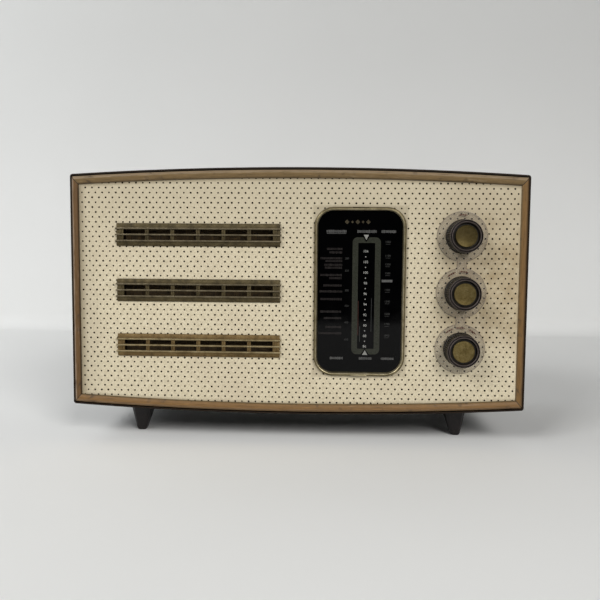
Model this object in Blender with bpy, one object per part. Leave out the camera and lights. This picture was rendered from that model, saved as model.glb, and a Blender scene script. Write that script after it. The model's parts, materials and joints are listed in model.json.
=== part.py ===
"""A mains valve table radio of about 1960: bowed plywood cabinet in leathercloth, wooden front
moulding, perforated front with three louvres, upright dial, three knobs and the works inside.

Metres, +Z up. The front faces -Y, +X is the listener's right, and the origin is on the table
under the middle of the set. Every round control turns about an axis along Y.
"""

import math

import bmesh
import bpy
from mathutils import Matrix, Vector

MM = 0.001
GAP = 0.3 * MM

# Cabinet: straight sides, top and bottom bowed outwards by the same amount.
HALF_WIDTH = 178 * MM
CORNER_LOW = 27.5 * MM
CORNER_HIGH = 209.2 * MM
BOW = 5.7 * MM
BACK_Y = 83 * MM
PANEL = 9 * MM
REBATE_LEAVES = 4 * MM
WRAP = 1.2 * MM
WRAP_RADIUS = 2.2 * MM
LINING = WRAP + GAP

# Front, from the moulding's crown back to the panels' front edges.
CROWN_Y = -68.0 * MM
EDGE_Y = -66.5 * MM
COVERING_Y = -65.5 * MM
COVERING = 0.7 * MM
BAFFLE_Y = COVERING_Y + COVERING + GAP
BAFFLE_BACK = BAFFLE_Y + 6 * MM
PANEL_FRONT = BAFFLE_BACK + GAP
RAIL = 6.0 * MM
STILE = 5.3 * MM
REBATE_SHARE = 0.52

# What the three rows of louvres and knobs share with the dial.
MIDDLE_ROW = 118.9 * MM
ROW_PITCH = 43.5 * MM
ROWS = {"top": MIDDLE_ROW + ROW_PITCH, "middle": MIDDLE_ROW, "bottom": MIDDLE_ROW - ROW_PITCH}

LOUVRE_X = -77.2 * MM
LOUVRE_WIDTH = 128.6 * MM
LOUVRE_HEIGHT = 17.8 * MM
WINDOW_COUNT = 6
WINDOW_SPAN = 117.5 * MM
DIVIDER = 2.9 * MM

DIAL_X = 49.1 * MM
DIAL_WIDTH = 71.0 * MM
DIAL_HEIGHT = 131.4 * MM
DIAL_RADIUS = 15 * MM
BEZEL = 3.4 * MM
GLASS_INSET = 2.0 * MM

KNOB_X = 127.3 * MM
KNOB_FRONT = -83 * MM
KNOB_BACK = -67.6 * MM
KNOB_RADIUS = 13.2 * MM
DISC_RADIUS = 8.85 * MM
SPINDLE_RADIUS = 3 * MM
SPINDLE_BORE = 3.3 * MM
ESCUTCHEON_RADIUS = 19.8 * MM
ESCUTCHEON_NECK = 7.6 * MM
ESCUTCHEON_BACK = COVERING_Y - GAP
ESCUTCHEON_FRONT = ESCUTCHEON_BACK - 1.2 * MM

# Chassis plate and shelf.
CHASSIS_Y = -36 * MM
SHEET = 1.2 * MM
CHASSIS_LEFT = -8 * MM
CHASSIS_RIGHT = 161 * MM
SHELF_Z = 45 * MM
SHELF_TOP = SHELF_Z + SHEET
SHELF_BACK = 58 * MM
REAR_OF_PLATE = CHASSIS_Y + SHEET + GAP

# Cord drive: radii are those of the cord's centre line.
CORD = 0.8 * MM
CORD_Y = -46 * MM
CORD_RETURN_Y = -42.8 * MM
DRUM_X = 35 * MM
DRUM_Z = 112 * MM
DRUM_PITCH = 27 * MM
SPINDLE_PITCH = 3 * MM
PULLEY_PITCH = 4.5 * MM
POINTER_X = 78 * MM
UPPER_PULLEY = (POINTER_X + PULLEY_PITCH, 173 * MM)
LOWER_PULLEY = (POINTER_X - PULLEY_PITCH, 62 * MM)
POINTER_TOP = 158.8 * MM

# Tuning gang: pitch and number of its moving vanes.
VANE_PITCH = 4 * MM
VANE_COUNT = 8
GANG_DEPTH = 33.2 * MM

SPEAKER_RADIUS = 64 * MM
SPEAKER_BACK = -2 * MM

# Back cover and what passes through it.
COVER_FRONT = BACK_Y - 6.5 * MM
COVER_BACK = BACK_Y - 3.5 * MM
SCREW_X = 110 * MM
GROMMET = (138 * MM, 52 * MM)
SOCKET = (-60 * MM, MIDDLE_ROW)


# Materials ------------------------------------------------------------------------------------

def finish(name, colour, roughness, metallic=0.0):
    """One Principled material, made once for all the sub-parts that share it."""
    material = bpy.data.materials.get(name)
    if material is None:
        material = bpy.data.materials.new(name)
        material.use_nodes = True
        shader = material.node_tree.nodes["Principled BSDF"]
        shader.inputs["Base Color"].default_value = (*colour, 1.0)
        shader.inputs["Roughness"].default_value = roughness
        shader.inputs["Metallic"].default_value = metallic
        material.diffuse_color = (*colour, 1.0)
    return material


def plywood():
    return finish("plywood", (0.42, 0.28, 0.15), 0.7)


def leathercloth():
    return finish("leathercloth", (0.018, 0.016, 0.016), 0.55)


def walnut():
    return finish("walnut", (0.19, 0.105, 0.045), 0.5)


def cream_vinyl():
    return finish("cream_vinyl", (0.66, 0.56, 0.38), 0.55)


def brown_cloth():
    return finish("brown_cloth", (0.05, 0.03, 0.015), 0.9)


def brass():
    return finish("brass", (0.33, 0.25, 0.11), 0.35, 1.0)


def black_glass():
    return finish("black_glass", (0.012, 0.012, 0.013), 0.08)


def clear_plastic():
    return finish("clear_plastic", (0.45, 0.41, 0.34), 0.3)


def black_plastic():
    return finish("black_plastic", (0.012, 0.011, 0.011), 0.3)


def dark_foot():
    return finish("dark_foot", (0.03, 0.022, 0.02), 0.5)


def fibreboard():
    return finish("fibreboard", (0.16, 0.09, 0.045), 0.8)


def rubber():
    return finish("rubber", (0.02, 0.02, 0.02), 0.7)


def steel():
    return finish("steel", (0.55, 0.55, 0.52), 0.4, 1.0)


def grey_enamel():
    return finish("grey_enamel", (0.12, 0.125, 0.105), 0.5)


def valve_glass():
    return finish("valve_glass", (0.25, 0.27, 0.27), 0.05)


def paper():
    return finish("speaker_paper", (0.03, 0.028, 0.025), 0.9)


def cord_fibre():
    return finish("cord_fibre", (0.55, 0.5, 0.38), 0.8)


# Mesh helpers ---------------------------------------------------------------------------------

def add(name, mesh, material, location=(0, 0, 0), parent=None):
    """Links a mesh as one sub-part. Its location is in world space, its parent an empty."""
    item = bpy.data.objects.new(name, mesh)
    bpy.context.scene.collection.objects.link(item)
    if not mesh.materials:
        mesh.materials.append(material)
    item.location = location
    if parent is not None:
        item.parent = parent
        item.location = Vector(location) - parent.location
    return item


def axis_empty(name, location):
    """An empty on a joint's axis, which carries the pieces that move with it."""
    empty = bpy.data.objects.new(name, None)
    empty.location = location
    bpy.context.scene.collection.objects.link(empty)
    return empty


def to_mesh(bm, name, smooth=None):
    bmesh.ops.recalc_face_normals(bm, faces=bm.faces)
    mesh = bpy.data.meshes.new(name)
    bm.to_mesh(mesh)
    bm.free()
    if smooth:
        mesh.shade_smooth()
        mesh.set_sharp_from_angle(angle=math.radians(smooth))
    return mesh


def loft(name, loops, smooth=None):
    """A closed skin over equal loops of points, with a face on each end."""
    bm = bmesh.new()
    rings = [[bm.verts.new(point) for point in loop] for loop in loops]
    count = len(rings[0])
    for near, far in zip(rings, rings[1:]):
        for i in range(count):
            j = (i + 1) % count
            bm.faces.new((near[i], near[j], far[j], far[i]))
    bm.faces.new(rings[0])
    bm.faces.new(rings[-1])
    return to_mesh(bm, name, smooth)


def prism(name, outline, front, back, smooth=None):
    """An outline of (x, z) points carried along Y."""
    return loft(name, [[(x, y, z) for x, z in outline] for y in (front, back)], smooth)


def box(name, low, high):
    (x0, y0, z0), (x1, y1, z1) = low, high
    return prism(name, [(x0, z0), (x1, z0), (x1, z1), (x0, z1)], y0, y1)


def rod(name, radius, front, back, x=0.0, z=0.0, sides=16):
    outline = [(x + px, z + pz) for px, pz in circle(radius, sides)]
    return prism(name, outline, front, back, smooth=40)


def turned(name, profile, sides, smooth=40):
    """A profile of (radius, y) points turned about the Y axis, closed where it meets the axis."""
    bm = bmesh.new()
    points = [bm.verts.new((radius, y, 0)) for radius, y in profile]
    edges = [bm.edges.new(pair) for pair in zip(points, points[1:])]
    if profile[0][0] > 0 and profile[-1][0] > 0:
        edges.append(bm.edges.new((points[-1], points[0])))
    bmesh.ops.spin(bm, geom=points + edges, axis=(0, 1, 0), cent=(0, 0, 0), steps=sides,
                   angle=2 * math.pi, use_merge=True)
    bmesh.ops.remove_doubles(bm, verts=bm.verts, dist=1e-6)
    return to_mesh(bm, name, smooth)


def merged(name, meshes):
    """Several closed shapes in one mesh, for one cutter."""
    bm = bmesh.new()
    for mesh in meshes:
        bm.from_mesh(mesh)
        bpy.data.meshes.remove(mesh)
    mesh = bpy.data.meshes.new(name)
    bm.to_mesh(mesh)
    bm.free()
    return mesh


def combine(target, mesh, operation):
    """Adds a Boolean modifier to target, with a hidden tool in the same place as target."""
    tool = bpy.data.objects.new(f"{target.name}.tool{len(target.modifiers)}", mesh)
    bpy.context.scene.collection.objects.link(tool)
    tool.parent = target.parent
    tool.location = target.location
    tool.hide_render = True
    tool.display_type = "WIRE"
    boolean = target.modifiers.new(operation.title(), "BOOLEAN")
    boolean.operation = operation
    boolean.object = tool
    return target


def cut(target, *meshes):
    return combine(target, merged(f"{target.name}.cut", meshes), "DIFFERENCE")


def fuse(target, *meshes):
    for mesh in meshes:
        combine(target, mesh, "UNION")
    return target


# Outlines, as (x, z) points counter-clockwise -------------------------------------------------

def circle(radius, sides):
    return [(radius * math.cos(2 * math.pi * i / sides), radius * math.sin(2 * math.pi * i / sides))
            for i in range(sides)]


def arc(centre, radius, start, end, steps):
    """Points along an arc. Angles are in degrees from +X towards +Z."""
    points = []
    for i in range(steps + 1):
        angle = math.radians(start + (end - start) * i / steps)
        points.append((centre[0] + radius * math.cos(angle), centre[1] + radius * math.sin(angle)))
    return points


def rounded_rectangle(width, height, radius, steps=5, centre=(0.0, 0.0)):
    x, z = width / 2 - radius, height / 2 - radius
    corners = ((x, -z, -90), (x, z, 0), (-x, z, 90), (-x, -z, 180))
    points = []
    for cx, cz, start in corners:
        points += arc((cx + centre[0], cz + centre[1]), radius, start, start + 90, steps)
    return points


def rectangle(x0, z0, x1, z1):
    return [(x0, z0), (x1, z0), (x1, z1), (x0, z1)]


def top_z(x):
    return CORNER_HIGH + BOW * (1 - (x / HALF_WIDTH) ** 2)


def bottom_z(x):
    return CORNER_LOW - BOW * (1 - (x / HALF_WIDTH) ** 2)


def cabinet_outline(inset_x, inset_z, radius, stations=14, corner_steps=3):
    """The bowed front shape, drawn in by the insets, with rounded corners."""
    edge = HALF_WIDTH - inset_x - radius
    bottom = [(edge * (2 * i / stations - 1)) for i in range(1, stations)]
    low, high = bottom_z(edge) + inset_z + radius, top_z(edge) - inset_z - radius
    points = [(x, bottom_z(x) + inset_z) for x in bottom]
    points += arc((edge, low), radius, -90, 0, corner_steps)
    points += arc((edge, high), radius, 0, 90, corner_steps)
    points += [(x, top_z(x) - inset_z) for x in reversed(bottom)]
    points += arc((-edge, high), radius, 90, 180, corner_steps)
    points += arc((-edge, low), radius, 180, 270, corner_steps)
    return points


# Mitred pieces: one section followed round the cabinet ----------------------------------------

def mitred_side(name, section, side, stations=14):
    """One of four mitred lengths. The section is (inset across a stile, inset across a rail, y)."""
    loops = []
    steps = stations if side in ("top", "bottom") else 1
    for i in range(steps + 1):
        share = i / steps
        loops.append([mitred_point(side, share, *point) for point in section])
    return loft(name, loops)


def mitred_point(side, share, inset_x, inset_z, y):
    reach = HALF_WIDTH - LINING - inset_x
    if side in ("top", "bottom"):
        x = (2 * share - 1) * (reach - GAP / 2)
        z = top_z(x) - LINING - inset_z if side == "top" else bottom_z(x) + LINING + inset_z
    else:
        x = reach if side == "right" else -reach
        low = bottom_z(x) + LINING + inset_z + GAP / 2
        high = top_z(x) - LINING - inset_z - GAP / 2
        z = low + (high - low) * share
    return (x, y, z)


def cabinet_panels():
    """Plywood case, rebated at the back for the cover."""
    ledge_y = BACK_Y - 6.8 * MM
    section = [(0, 0, PANEL_FRONT), (0, 0, BACK_Y), (REBATE_LEAVES, REBATE_LEAVES, BACK_Y),
               (REBATE_LEAVES, REBATE_LEAVES, ledge_y), (PANEL, PANEL, ledge_y),
               (PANEL, PANEL, PANEL_FRONT)]
    for side in ("top", "bottom", "left", "right"):
        name = f"cabinet_{side}_panel"
        panel = add(name, mitred_side(name, section, side), plywood())
        if side == "bottom":
            holes = [rod("hole", 1.5 * MM, ledge_y - 7 * MM, BACK_Y, x, screw_z(x), 10)
                     for x in (-SCREW_X, SCREW_X)]
            cut(panel, *holes)


def front_moulding():
    """Wooden moulding: an outer chamfer up to a crown, then a rounded face down to a thin lip."""
    lip_y = COVERING_Y - GAP
    shape = [(0.0, EDGE_Y), (0.26, CROWN_Y), (0.48, CROWN_Y + 0.1 * MM), (0.75, CROWN_Y + 0.5 * MM),
             (1.0, CROWN_Y + 1.3 * MM), (1.0, lip_y), (REBATE_SHARE, lip_y),
             (REBATE_SHARE, BAFFLE_BACK), (0.0, BAFFLE_BACK)]
    section = [(share * STILE, share * RAIL, y) for share, y in shape]
    for side, kind in (("top", "rail"), ("bottom", "rail"), ("left", "stile"), ("right", "stile")):
        name = f"frame_{side}_{kind}"
        add(name, mitred_side(name, section, side), walnut())


def leathercloth_wrap():
    """The covering of the case, a closed band with its front edge seen round the moulding."""
    outer = cabinet_outline(0, 0, WRAP_RADIUS)
    inner = cabinet_outline(WRAP, WRAP, 0.6 * MM)
    front = EDGE_Y - GAP
    bm = bmesh.new()
    rings = [[bm.verts.new((x, y, z)) for x, z in points]
             for points, y in ((outer, front), (outer, BACK_Y), (inner, BACK_Y), (inner, front))]
    count = len(outer)
    for near, far in zip(rings, rings[1:] + rings[:1]):
        for i in range(count):
            j = (i + 1) % count
            bm.faces.new((near[i], near[j], far[j], far[i]))
    add("leathercloth_wrap", to_mesh(bm, "leathercloth_wrap", 30), leathercloth())


# Front ----------------------------------------------------------------------------------------

def front_holes(dial_width, dial_height, slot_width, slot_height, spindle_radius):
    """The openings that the covering and the baffle share: dial, three slots, three spindles."""
    front, back = COVERING_Y - 5 * MM, BAFFLE_BACK + 5 * MM
    dial = rounded_rectangle(dial_width, dial_height, DIAL_RADIUS - GLASS_INSET, 5, (DIAL_X, MIDDLE_ROW))
    holes = [prism("dial_hole", dial, front, back)]
    for z in ROWS.values():
        slot = rectangle(LOUVRE_X - slot_width / 2, z - slot_height / 2,
                         LOUVRE_X + slot_width / 2, z + slot_height / 2)
        holes.append(prism("slot", slot, front, back))
        holes.append(rod("spindle_hole", spindle_radius, front, back, KNOB_X, z, 16))
    return holes


def baffle_and_covering():
    """Plywood baffle and the cream covering on it, both held under the moulding's lip."""
    outline = cabinet_outline(LINING + REBATE_SHARE * STILE + GAP, LINING + REBATE_SHARE * RAIL + GAP,
                              1 * MM, corner_steps=1)
    opening = (DIAL_WIDTH - 2 * GLASS_INSET + 2 * GAP, DIAL_HEIGHT - 2 * GLASS_INSET + 2 * GAP)
    baffle = add("front_baffle", prism("front_baffle", outline, BAFFLE_Y, BAFFLE_BACK), plywood())
    cut(baffle, *front_holes(*opening, 119 * MM, 12 * MM, 4.5 * MM))
    covering = prism("front_covering", outline, COVERING_Y, COVERING_Y + COVERING)
    covering = add("front_covering", covering, cream_vinyl())
    cut(covering, *front_holes(*opening, 121 * MM, 13 * MM, 4.2 * MM))


def louvre_grilles():
    """Brass louvres: a folded plate with two rows of windows behind three raised rails."""
    half_w, half_h = LOUVRE_WIDTH / 2, LOUVRE_HEIGHT / 2
    back = COVERING_Y - GAP
    plate_front, flange_front = back - 1.4 * MM, back - 0.5 * MM
    flange = [(half_h, back), (half_h, flange_front), (5.6 * MM, plate_front), (-5.6 * MM, plate_front),
              (-half_h, flange_front), (-half_h, back)]
    pitch = (WINDOW_SPAN + DIVIDER) / WINDOW_COUNT
    for row, centre_z in ROWS.items():
        name = f"louvre_grille_{row}"
        loops = [[(x, y, z) for z, y in flange] for x in (-half_w, half_w)]
        grille = add(name, loft(name, loops), brass(), (LOUVRE_X, 0, centre_z))
        windows = []
        for column in range(WINDOW_COUNT):
            left = column * pitch - WINDOW_SPAN / 2
            for low in (0.8 * MM, -4.1 * MM):
                window = rectangle(left, low, left + pitch - DIVIDER, low + 3.3 * MM)
                windows.append(prism("window", window, plate_front - MM, back + MM))
        cut(grille, *windows)
        rails = []
        for z in (-4.8 * MM, 0, 4.8 * MM):
            reach = half_w + 0.9 * MM
            low = (-reach, back - 2.4 * MM, z - 0.6 * MM)
            rails.append(box("rail", low, (reach, back - 0.4 * MM, z + 0.6 * MM)))
        fuse(grille, *rails)


def speaker_cloth():
    low = (LOUVRE_X - 68 * MM, BAFFLE_BACK + GAP, MIDDLE_ROW - 56 * MM)
    high = (LOUVRE_X + 68 * MM, BAFFLE_BACK + GAP + 0.8 * MM, MIDDLE_ROW + 56 * MM)
    add("speaker_cloth", box("speaker_cloth", low, high), brown_cloth())


def dial_bezel():
    """Gilt ring of half-round section round the dial."""
    back = COVERING_Y - GAP
    section = [(0.0, 0.0), (0.0, -1.2 * MM), (0.25, -2.1 * MM), (0.6, -2.5 * MM), (0.9, -2.0 * MM),
               (1.0, -1.0 * MM), (1.0, 0.0)]
    bm = bmesh.new()
    rings = []
    for share, y in section:
        inset = share * BEZEL
        outline = rounded_rectangle(DIAL_WIDTH - 2 * inset, DIAL_HEIGHT - 2 * inset,
                                    DIAL_RADIUS - inset, 5, (DIAL_X, MIDDLE_ROW))
        rings.append([bm.verts.new((x, back + y, z)) for x, z in outline])
    count = len(rings[0])
    for near, far in zip(rings, rings[1:] + rings[:1]):
        for i in range(count):
            j = (i + 1) % count
            bm.faces.new((near[i], near[j], far[j], far[i]))
    add("dial_bezel", to_mesh(bm, "dial_bezel", 40), brass())


def dial_glass():
    outline = rounded_rectangle(DIAL_WIDTH - 2 * GLASS_INSET, DIAL_HEIGHT - 2 * GLASS_INSET,
                                DIAL_RADIUS - GLASS_INSET, 5, (DIAL_X, MIDDLE_ROW))
    front = COVERING_Y + 0.1 * MM
    add("dial_glass", prism("dial_glass", outline, front, front + 2 * MM, 40), black_glass())


def dial_backplate():
    """Grey plate behind the glass on four posts from the chassis."""
    front = -57 * MM
    plate = box("dial_backplate", (18 * MM, front, 55 * MM), (72 * MM, front + 0.8 * MM, 181 * MM))
    backplate = add("dial_backplate", plate, grey_enamel())
    for x, z in ((22, 172), (66, 172), (22, 64), (50, 58)):
        fuse(backplate, rod("post", 2.5 * MM, front + 0.4 * MM, CHASSIS_Y - GAP, x * MM, z * MM, 10))


def knob_escutcheon():
    """Clear plate under the knobs: three discs joined by two necks."""
    angle = math.degrees(math.asin(ESCUTCHEON_NECK / 2 / ESCUTCHEON_RADIUS))
    right = []
    for row in ("bottom", "middle", "top"):
        start = -90 if row == "bottom" else -90 + angle
        end = 90 if row == "top" else 90 - angle
        right += arc((0, ROWS[row]), ESCUTCHEON_RADIUS, start, end, 10)
    left = [(-x, z) for x, z in reversed(right[1:-1])]
    outline = [(x + KNOB_X, z) for x, z in right + left]
    plate = prism("knob_escutcheon", outline, ESCUTCHEON_FRONT, ESCUTCHEON_BACK, 30)
    escutcheon = add("knob_escutcheon", plate, clear_plastic())
    cut(escutcheon, *[rod("hole", 4.2 * MM, ESCUTCHEON_FRONT - MM, ESCUTCHEON_BACK + MM, KNOB_X, z, 16)
                      for z in ROWS.values()])


# Feet and back --------------------------------------------------------------------------------

def foot_ring(side_x, side_y, z, outer, inner, front, back):
    """Eight points round a foot: a rectangle with its corners taken off. Sizes are distances
    from the set's middle planes, and z is a height or None for the underside of the cabinet."""
    chamfer = min(outer - inner, back - front) * 0.18
    corners = [(outer, front + chamfer), (outer, back - chamfer), (outer - chamfer, back),
               (inner + chamfer, back), (inner, back - chamfer), (inner, front + chamfer),
               (inner + chamfer, front), (outer - chamfer, front)]
    return [(side_x * x, side_y * y, bottom_z(x) - GAP if z is None else z) for x, y in corners]


def feet():
    """Tapered feet: every side slopes in towards the floor, the outer one least."""
    for end, side_y in (("front", -1), ("rear", 1)):
        for hand, side_x in (("left", -1), ("right", 1)):
            near = 25 * MM if end == "front" else 33 * MM
            rings = [
                foot_ring(side_x, side_y, None, 138.2 * MM, 119.4 * MM, near, near + 24 * MM),
                foot_ring(side_x, side_y, 2 * MM, 134.6 * MM, 126.4 * MM, near + 8 * MM, near + 17 * MM),
                foot_ring(side_x, side_y, 0.0, 133.8 * MM, 127.2 * MM, near + 9 * MM, near + 16 * MM),
            ]
            name = f"{end}_{hand}_foot"
            add(name, loft(name, rings), dark_foot())


def screw_z(x):
    """Height of a back screw: the middle of the ledge left by the rebate."""
    return bottom_z(x) + LINING + (REBATE_LEAVES + PANEL) / 2


def back_cover():
    """Fibreboard cover in the rebate, with two banks of ventilation slots."""
    inset = LINING + REBATE_LEAVES + GAP
    outline = cabinet_outline(inset, inset, 1 * MM, corner_steps=1)
    cover = add("back_cover", prism("back_cover", outline, COVER_FRONT, COVER_BACK), fibreboard())
    holes = []
    for first_x, columns in ((-140 * MM, 7), (22 * MM, 8)):
        for column in range(columns):
            for z in (84 * MM, 158 * MM):
                x = first_x + column * 14 * MM
                holes.append(box("slot", (x - 1.8 * MM, COVER_FRONT - MM, z - 17 * MM),
                                 (x + 1.8 * MM, COVER_BACK + MM, z + 17 * MM)))
    for x in (-SCREW_X, SCREW_X):
        holes.append(rod("hole", 1.5 * MM, COVER_FRONT - MM, COVER_BACK + MM, x, screw_z(x), 10))
    holes.append(rod("hole", 6.3 * MM, COVER_FRONT - MM, COVER_BACK + MM, *GROMMET, 16))
    holes.append(rod("hole", 6.0 * MM, COVER_FRONT - MM, COVER_BACK + MM, *SOCKET, 16))
    cut(cover, *holes)


def cable_grommet():
    """Rubber grommet for the mains lead, gripping the cover's edge in its groove."""
    profile = [(3.9 * MM, -3.4 * MM), (8.2 * MM, -3.4 * MM), (8.2 * MM, -1.8 * MM), (6.0 * MM, -1.8 * MM),
               (6.0 * MM, 1.8 * MM), (8.2 * MM, 1.8 * MM), (8.2 * MM, 3.0 * MM), (3.9 * MM, 3.0 * MM)]
    middle = (COVER_FRONT + COVER_BACK) / 2
    add("cable_grommet", turned("cable_grommet", profile, 16), rubber(), (GROMMET[0], middle, GROMMET[1]))


def aerial_socket():
    """Two-pin socket for the VHF aerial: an insulating plate with a boss through the cover."""
    x, z = SOCKET
    outline = rounded_rectangle(32 * MM, 15 * MM, 3 * MM, 2)
    plate = prism("aerial_socket", outline, COVER_BACK + GAP, COVER_BACK + GAP + 1.6 * MM)
    socket = add("aerial_socket", plate, black_plastic(), (x, 0, z))
    fuse(socket, rod("boss", 5.6 * MM, COVER_FRONT - 2 * MM, COVER_BACK + MM, sides=16))
    pins = [rod("pin_hole", 1.2 * MM, COVER_FRONT - 3 * MM, BACK_Y, x_pin, 0, 10)
            for x_pin in (-3 * MM, 3 * MM)]
    cut(socket, *pins)


def back_screws():
    profile = [(0, -8 * MM), (1.1 * MM, -7 * MM), (1.1 * MM, GAP), (2.1 * MM, GAP), (2.0 * MM, 0.9 * MM),
               (1.2 * MM, 1.5 * MM), (0, 1.7 * MM)]
    for hand, x in (("left", -SCREW_X), ("right", SCREW_X)):
        name = f"back_screw_{hand}"
        add(name, turned(name, profile, 12), brass(), (x, COVER_BACK, screw_z(x)))


# Chassis and what stands on it ----------------------------------------------------------------

def chassis():
    """Steel plate behind the dial with side flanges to the baffle, a shelf, and pulley studs."""
    plate_back = CHASSIS_Y + SHEET
    left, right = CHASSIS_LEFT, CHASSIS_RIGHT
    flange_y = BAFFLE_BACK + GAP
    channel = [(left, flange_y), (left, plate_back), (right, plate_back), (right, flange_y),
               (right - SHEET, flange_y), (right - SHEET, CHASSIS_Y), (left + SHEET, CHASSIS_Y),
               (left + SHEET, flange_y)]
    loops = [[(x, y, z) for x, y in channel] for z in (SHELF_Z, 192 * MM)]
    item = add("chassis", loft("chassis", loops), steel())
    shelf = [(CHASSIS_Y + 0.2 * MM, SHELF_Z), (SHELF_BACK, SHELF_Z), (SHELF_BACK, SHELF_Z - 8 * MM),
             (SHELF_BACK + SHEET, SHELF_Z - 8 * MM), (SHELF_BACK + SHEET, SHELF_TOP),
             (CHASSIS_Y + 0.2 * MM, SHELF_TOP)]
    fuse(item, loft("shelf", [[(x, y, z) for y, z in shelf] for x in (left + MM, right - MM)]))
    for x, z in (UPPER_PULLEY, LOWER_PULLEY):
        fuse(item, rod("stud", 1.5 * MM, CORD_Y - 3.6 * MM, CHASSIS_Y + 0.6 * MM, x, z, 12))
    bores = [(KNOB_X, ROWS["top"], SPINDLE_BORE), (KNOB_X, ROWS["middle"], 5.1 * MM),
             (KNOB_X, ROWS["bottom"], 5.1 * MM), (DRUM_X, DRUM_Z, 4.5 * MM)]
    cut(item, *[rod("bore", radius, CHASSIS_Y - MM, plate_back + MM, x, z, 16) for x, z, radius in bores])


def transformer(name, x, y, stack, winding):
    """Laminations with a winding through them. Both sizes are (width, depth, height)."""
    low, mid = SHELF_TOP + GAP, SHELF_TOP + GAP + stack[2] / 2
    core = box(name, (-stack[0] / 2, -stack[1] / 2, low), (stack[0] / 2, stack[1] / 2, low + stack[2]))
    item = add(name, core, steel(), (x, y, 0))
    coil = box("coil", (-winding[0] / 2, -winding[1] / 2, mid - winding[2] / 2),
               (winding[0] / 2, winding[1] / 2, mid + winding[2] / 2))
    fuse(item, coil)


def screening_can(name, low, high, location):
    """Drawn aluminium can with rounded upright edges and a smaller top."""
    (x0, y0, z0), (x1, y1, z1) = low, high
    outline = rounded_rectangle(x1 - x0, y1 - y0, 2.5 * MM, 2, ((x0 + x1) / 2, (y0 + y1) / 2))
    top = rounded_rectangle(x1 - x0 - 2 * MM, y1 - y0 - 2 * MM, 1.8 * MM, 2, ((x0 + x1) / 2, (y0 + y1) / 2))
    loops = [[(x, y, z0) for x, y in outline], [(x, y, z1 - MM) for x, y in outline],
             [(x, y, z1) for x, y in top]]
    add(name, loft(name, loops, 30), steel(), location)


def upright(name, profile, sides, material, location):
    """A turned piece standing on its foot: the profile's second number is a height."""
    mesh = turned(name, profile, sides)
    mesh.transform(Matrix.Rotation(math.radians(90), 4, "X"))
    add(name, mesh, material, location)


def valves():
    """Glass envelopes with a pip, standing in their holders on the shelf."""
    base = SHELF_TOP + GAP
    places = (("mixer", 92, 13, 50), ("if", 38, 13, 46), ("output", 36, 40, 62), ("rectifier", 92, 40, 60))
    for kind, x, y, height in places:
        tall = height * MM
        profile = [(0, 0), (11 * MM, 0), (11 * MM, 8 * MM), (10.2 * MM, 8.5 * MM), (10.2 * MM, tall - 8 * MM),
                   (7.5 * MM, tall - 2.5 * MM), (1.5 * MM, tall), (0, tall + 3 * MM)]
        upright(f"valve_{kind}", profile, 14, valve_glass(), (x * MM, y * MM, base))


def shelf_items():
    transformer("mains_transformer", 131 * MM, 29 * MM, (50 * MM, 30 * MM, 42 * MM),
                (32 * MM, 46 * MM, 27 * MM))
    transformer("output_transformer", 9 * MM, 40 * MM, (28 * MM, 16 * MM, 24 * MM),
                (17 * MM, 26 * MM, 15 * MM))
    side = 11 * MM
    for name, x in (("if_can_first", 65 * MM), ("if_can_second", 10 * MM)):
        foot = SHELF_TOP + GAP
        screening_can(name, (-side, -side, foot), (side, side, foot + 50 * MM), (x, 12 * MM, 0))
    capacitor = [(0, 0), (14 * MM, 0), (14 * MM, 66 * MM), (13 * MM, 67.5 * MM), (13.6 * MM, 69 * MM),
                 (12.5 * MM, 70 * MM), (0, 70 * MM)]
    upright("smoothing_capacitor", capacitor, 18, steel(), (64 * MM, 40 * MM, SHELF_TOP + GAP))
    low = (-19 * MM, REAR_OF_PLATE, 128 * MM)
    screening_can("vhf_tuner_can", low, (19 * MM, -8 * MM, 178 * MM), (90 * MM, 0, 0))


def ferrite_rod_aerial():
    """Rod with two coils, hung from the top panel in two clips."""
    length, radius, coil = 75 * MM, 4.8 * MM, 7.2 * MM
    profile = [(0, -length), (radius, -length), (radius, -60 * MM), (coil, -60 * MM), (coil, -34 * MM),
               (radius, -34 * MM), (radius, 30 * MM), (coil, 30 * MM), (coil, 62 * MM), (radius, 62 * MM),
               (radius, length), (0, length)]
    mesh = turned("ferrite_rod_aerial", profile, 12)
    mesh.transform(Matrix.Rotation(math.radians(-90), 4, "Z"))
    centre_x, centre_y, centre_z = 40 * MM, 42 * MM, 184 * MM
    ferrite = finish("ferrite", (0.06, 0.06, 0.065), 0.4)
    aerial = add("ferrite_rod_aerial", mesh, ferrite, (centre_x, centre_y, centre_z))
    for x in (-20 * MM, 20 * MM):
        underside = top_z(centre_x + x) - LINING - PANEL - 2 * GAP - centre_z
        fuse(aerial, box("clip", (x - 3 * MM, -6 * MM, -6 * MM), (x + 3 * MM, 6 * MM, underside)))


def volume_control():
    """Potentiometer behind the chassis plate, its bush through the plate."""
    y = REAR_OF_PLATE
    profile = [(SPINDLE_BORE, CHASSIS_Y - 5 * MM), (4.7 * MM, CHASSIS_Y - 5 * MM), (4.7 * MM, y),
               (12 * MM, y), (12 * MM, y + 10 * MM), (10.5 * MM, y + 11.5 * MM),
               (SPINDLE_BORE, y + 11.5 * MM)]
    control = turned("volume_control", profile, 16)
    item = add("volume_control", control, steel(), (KNOB_X, 0, ROWS["middle"]))
    fuse(item, box("tags", (-8 * MM, y + 2 * MM, 10 * MM), (8 * MM, y + 3 * MM, 19 * MM)))


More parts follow.
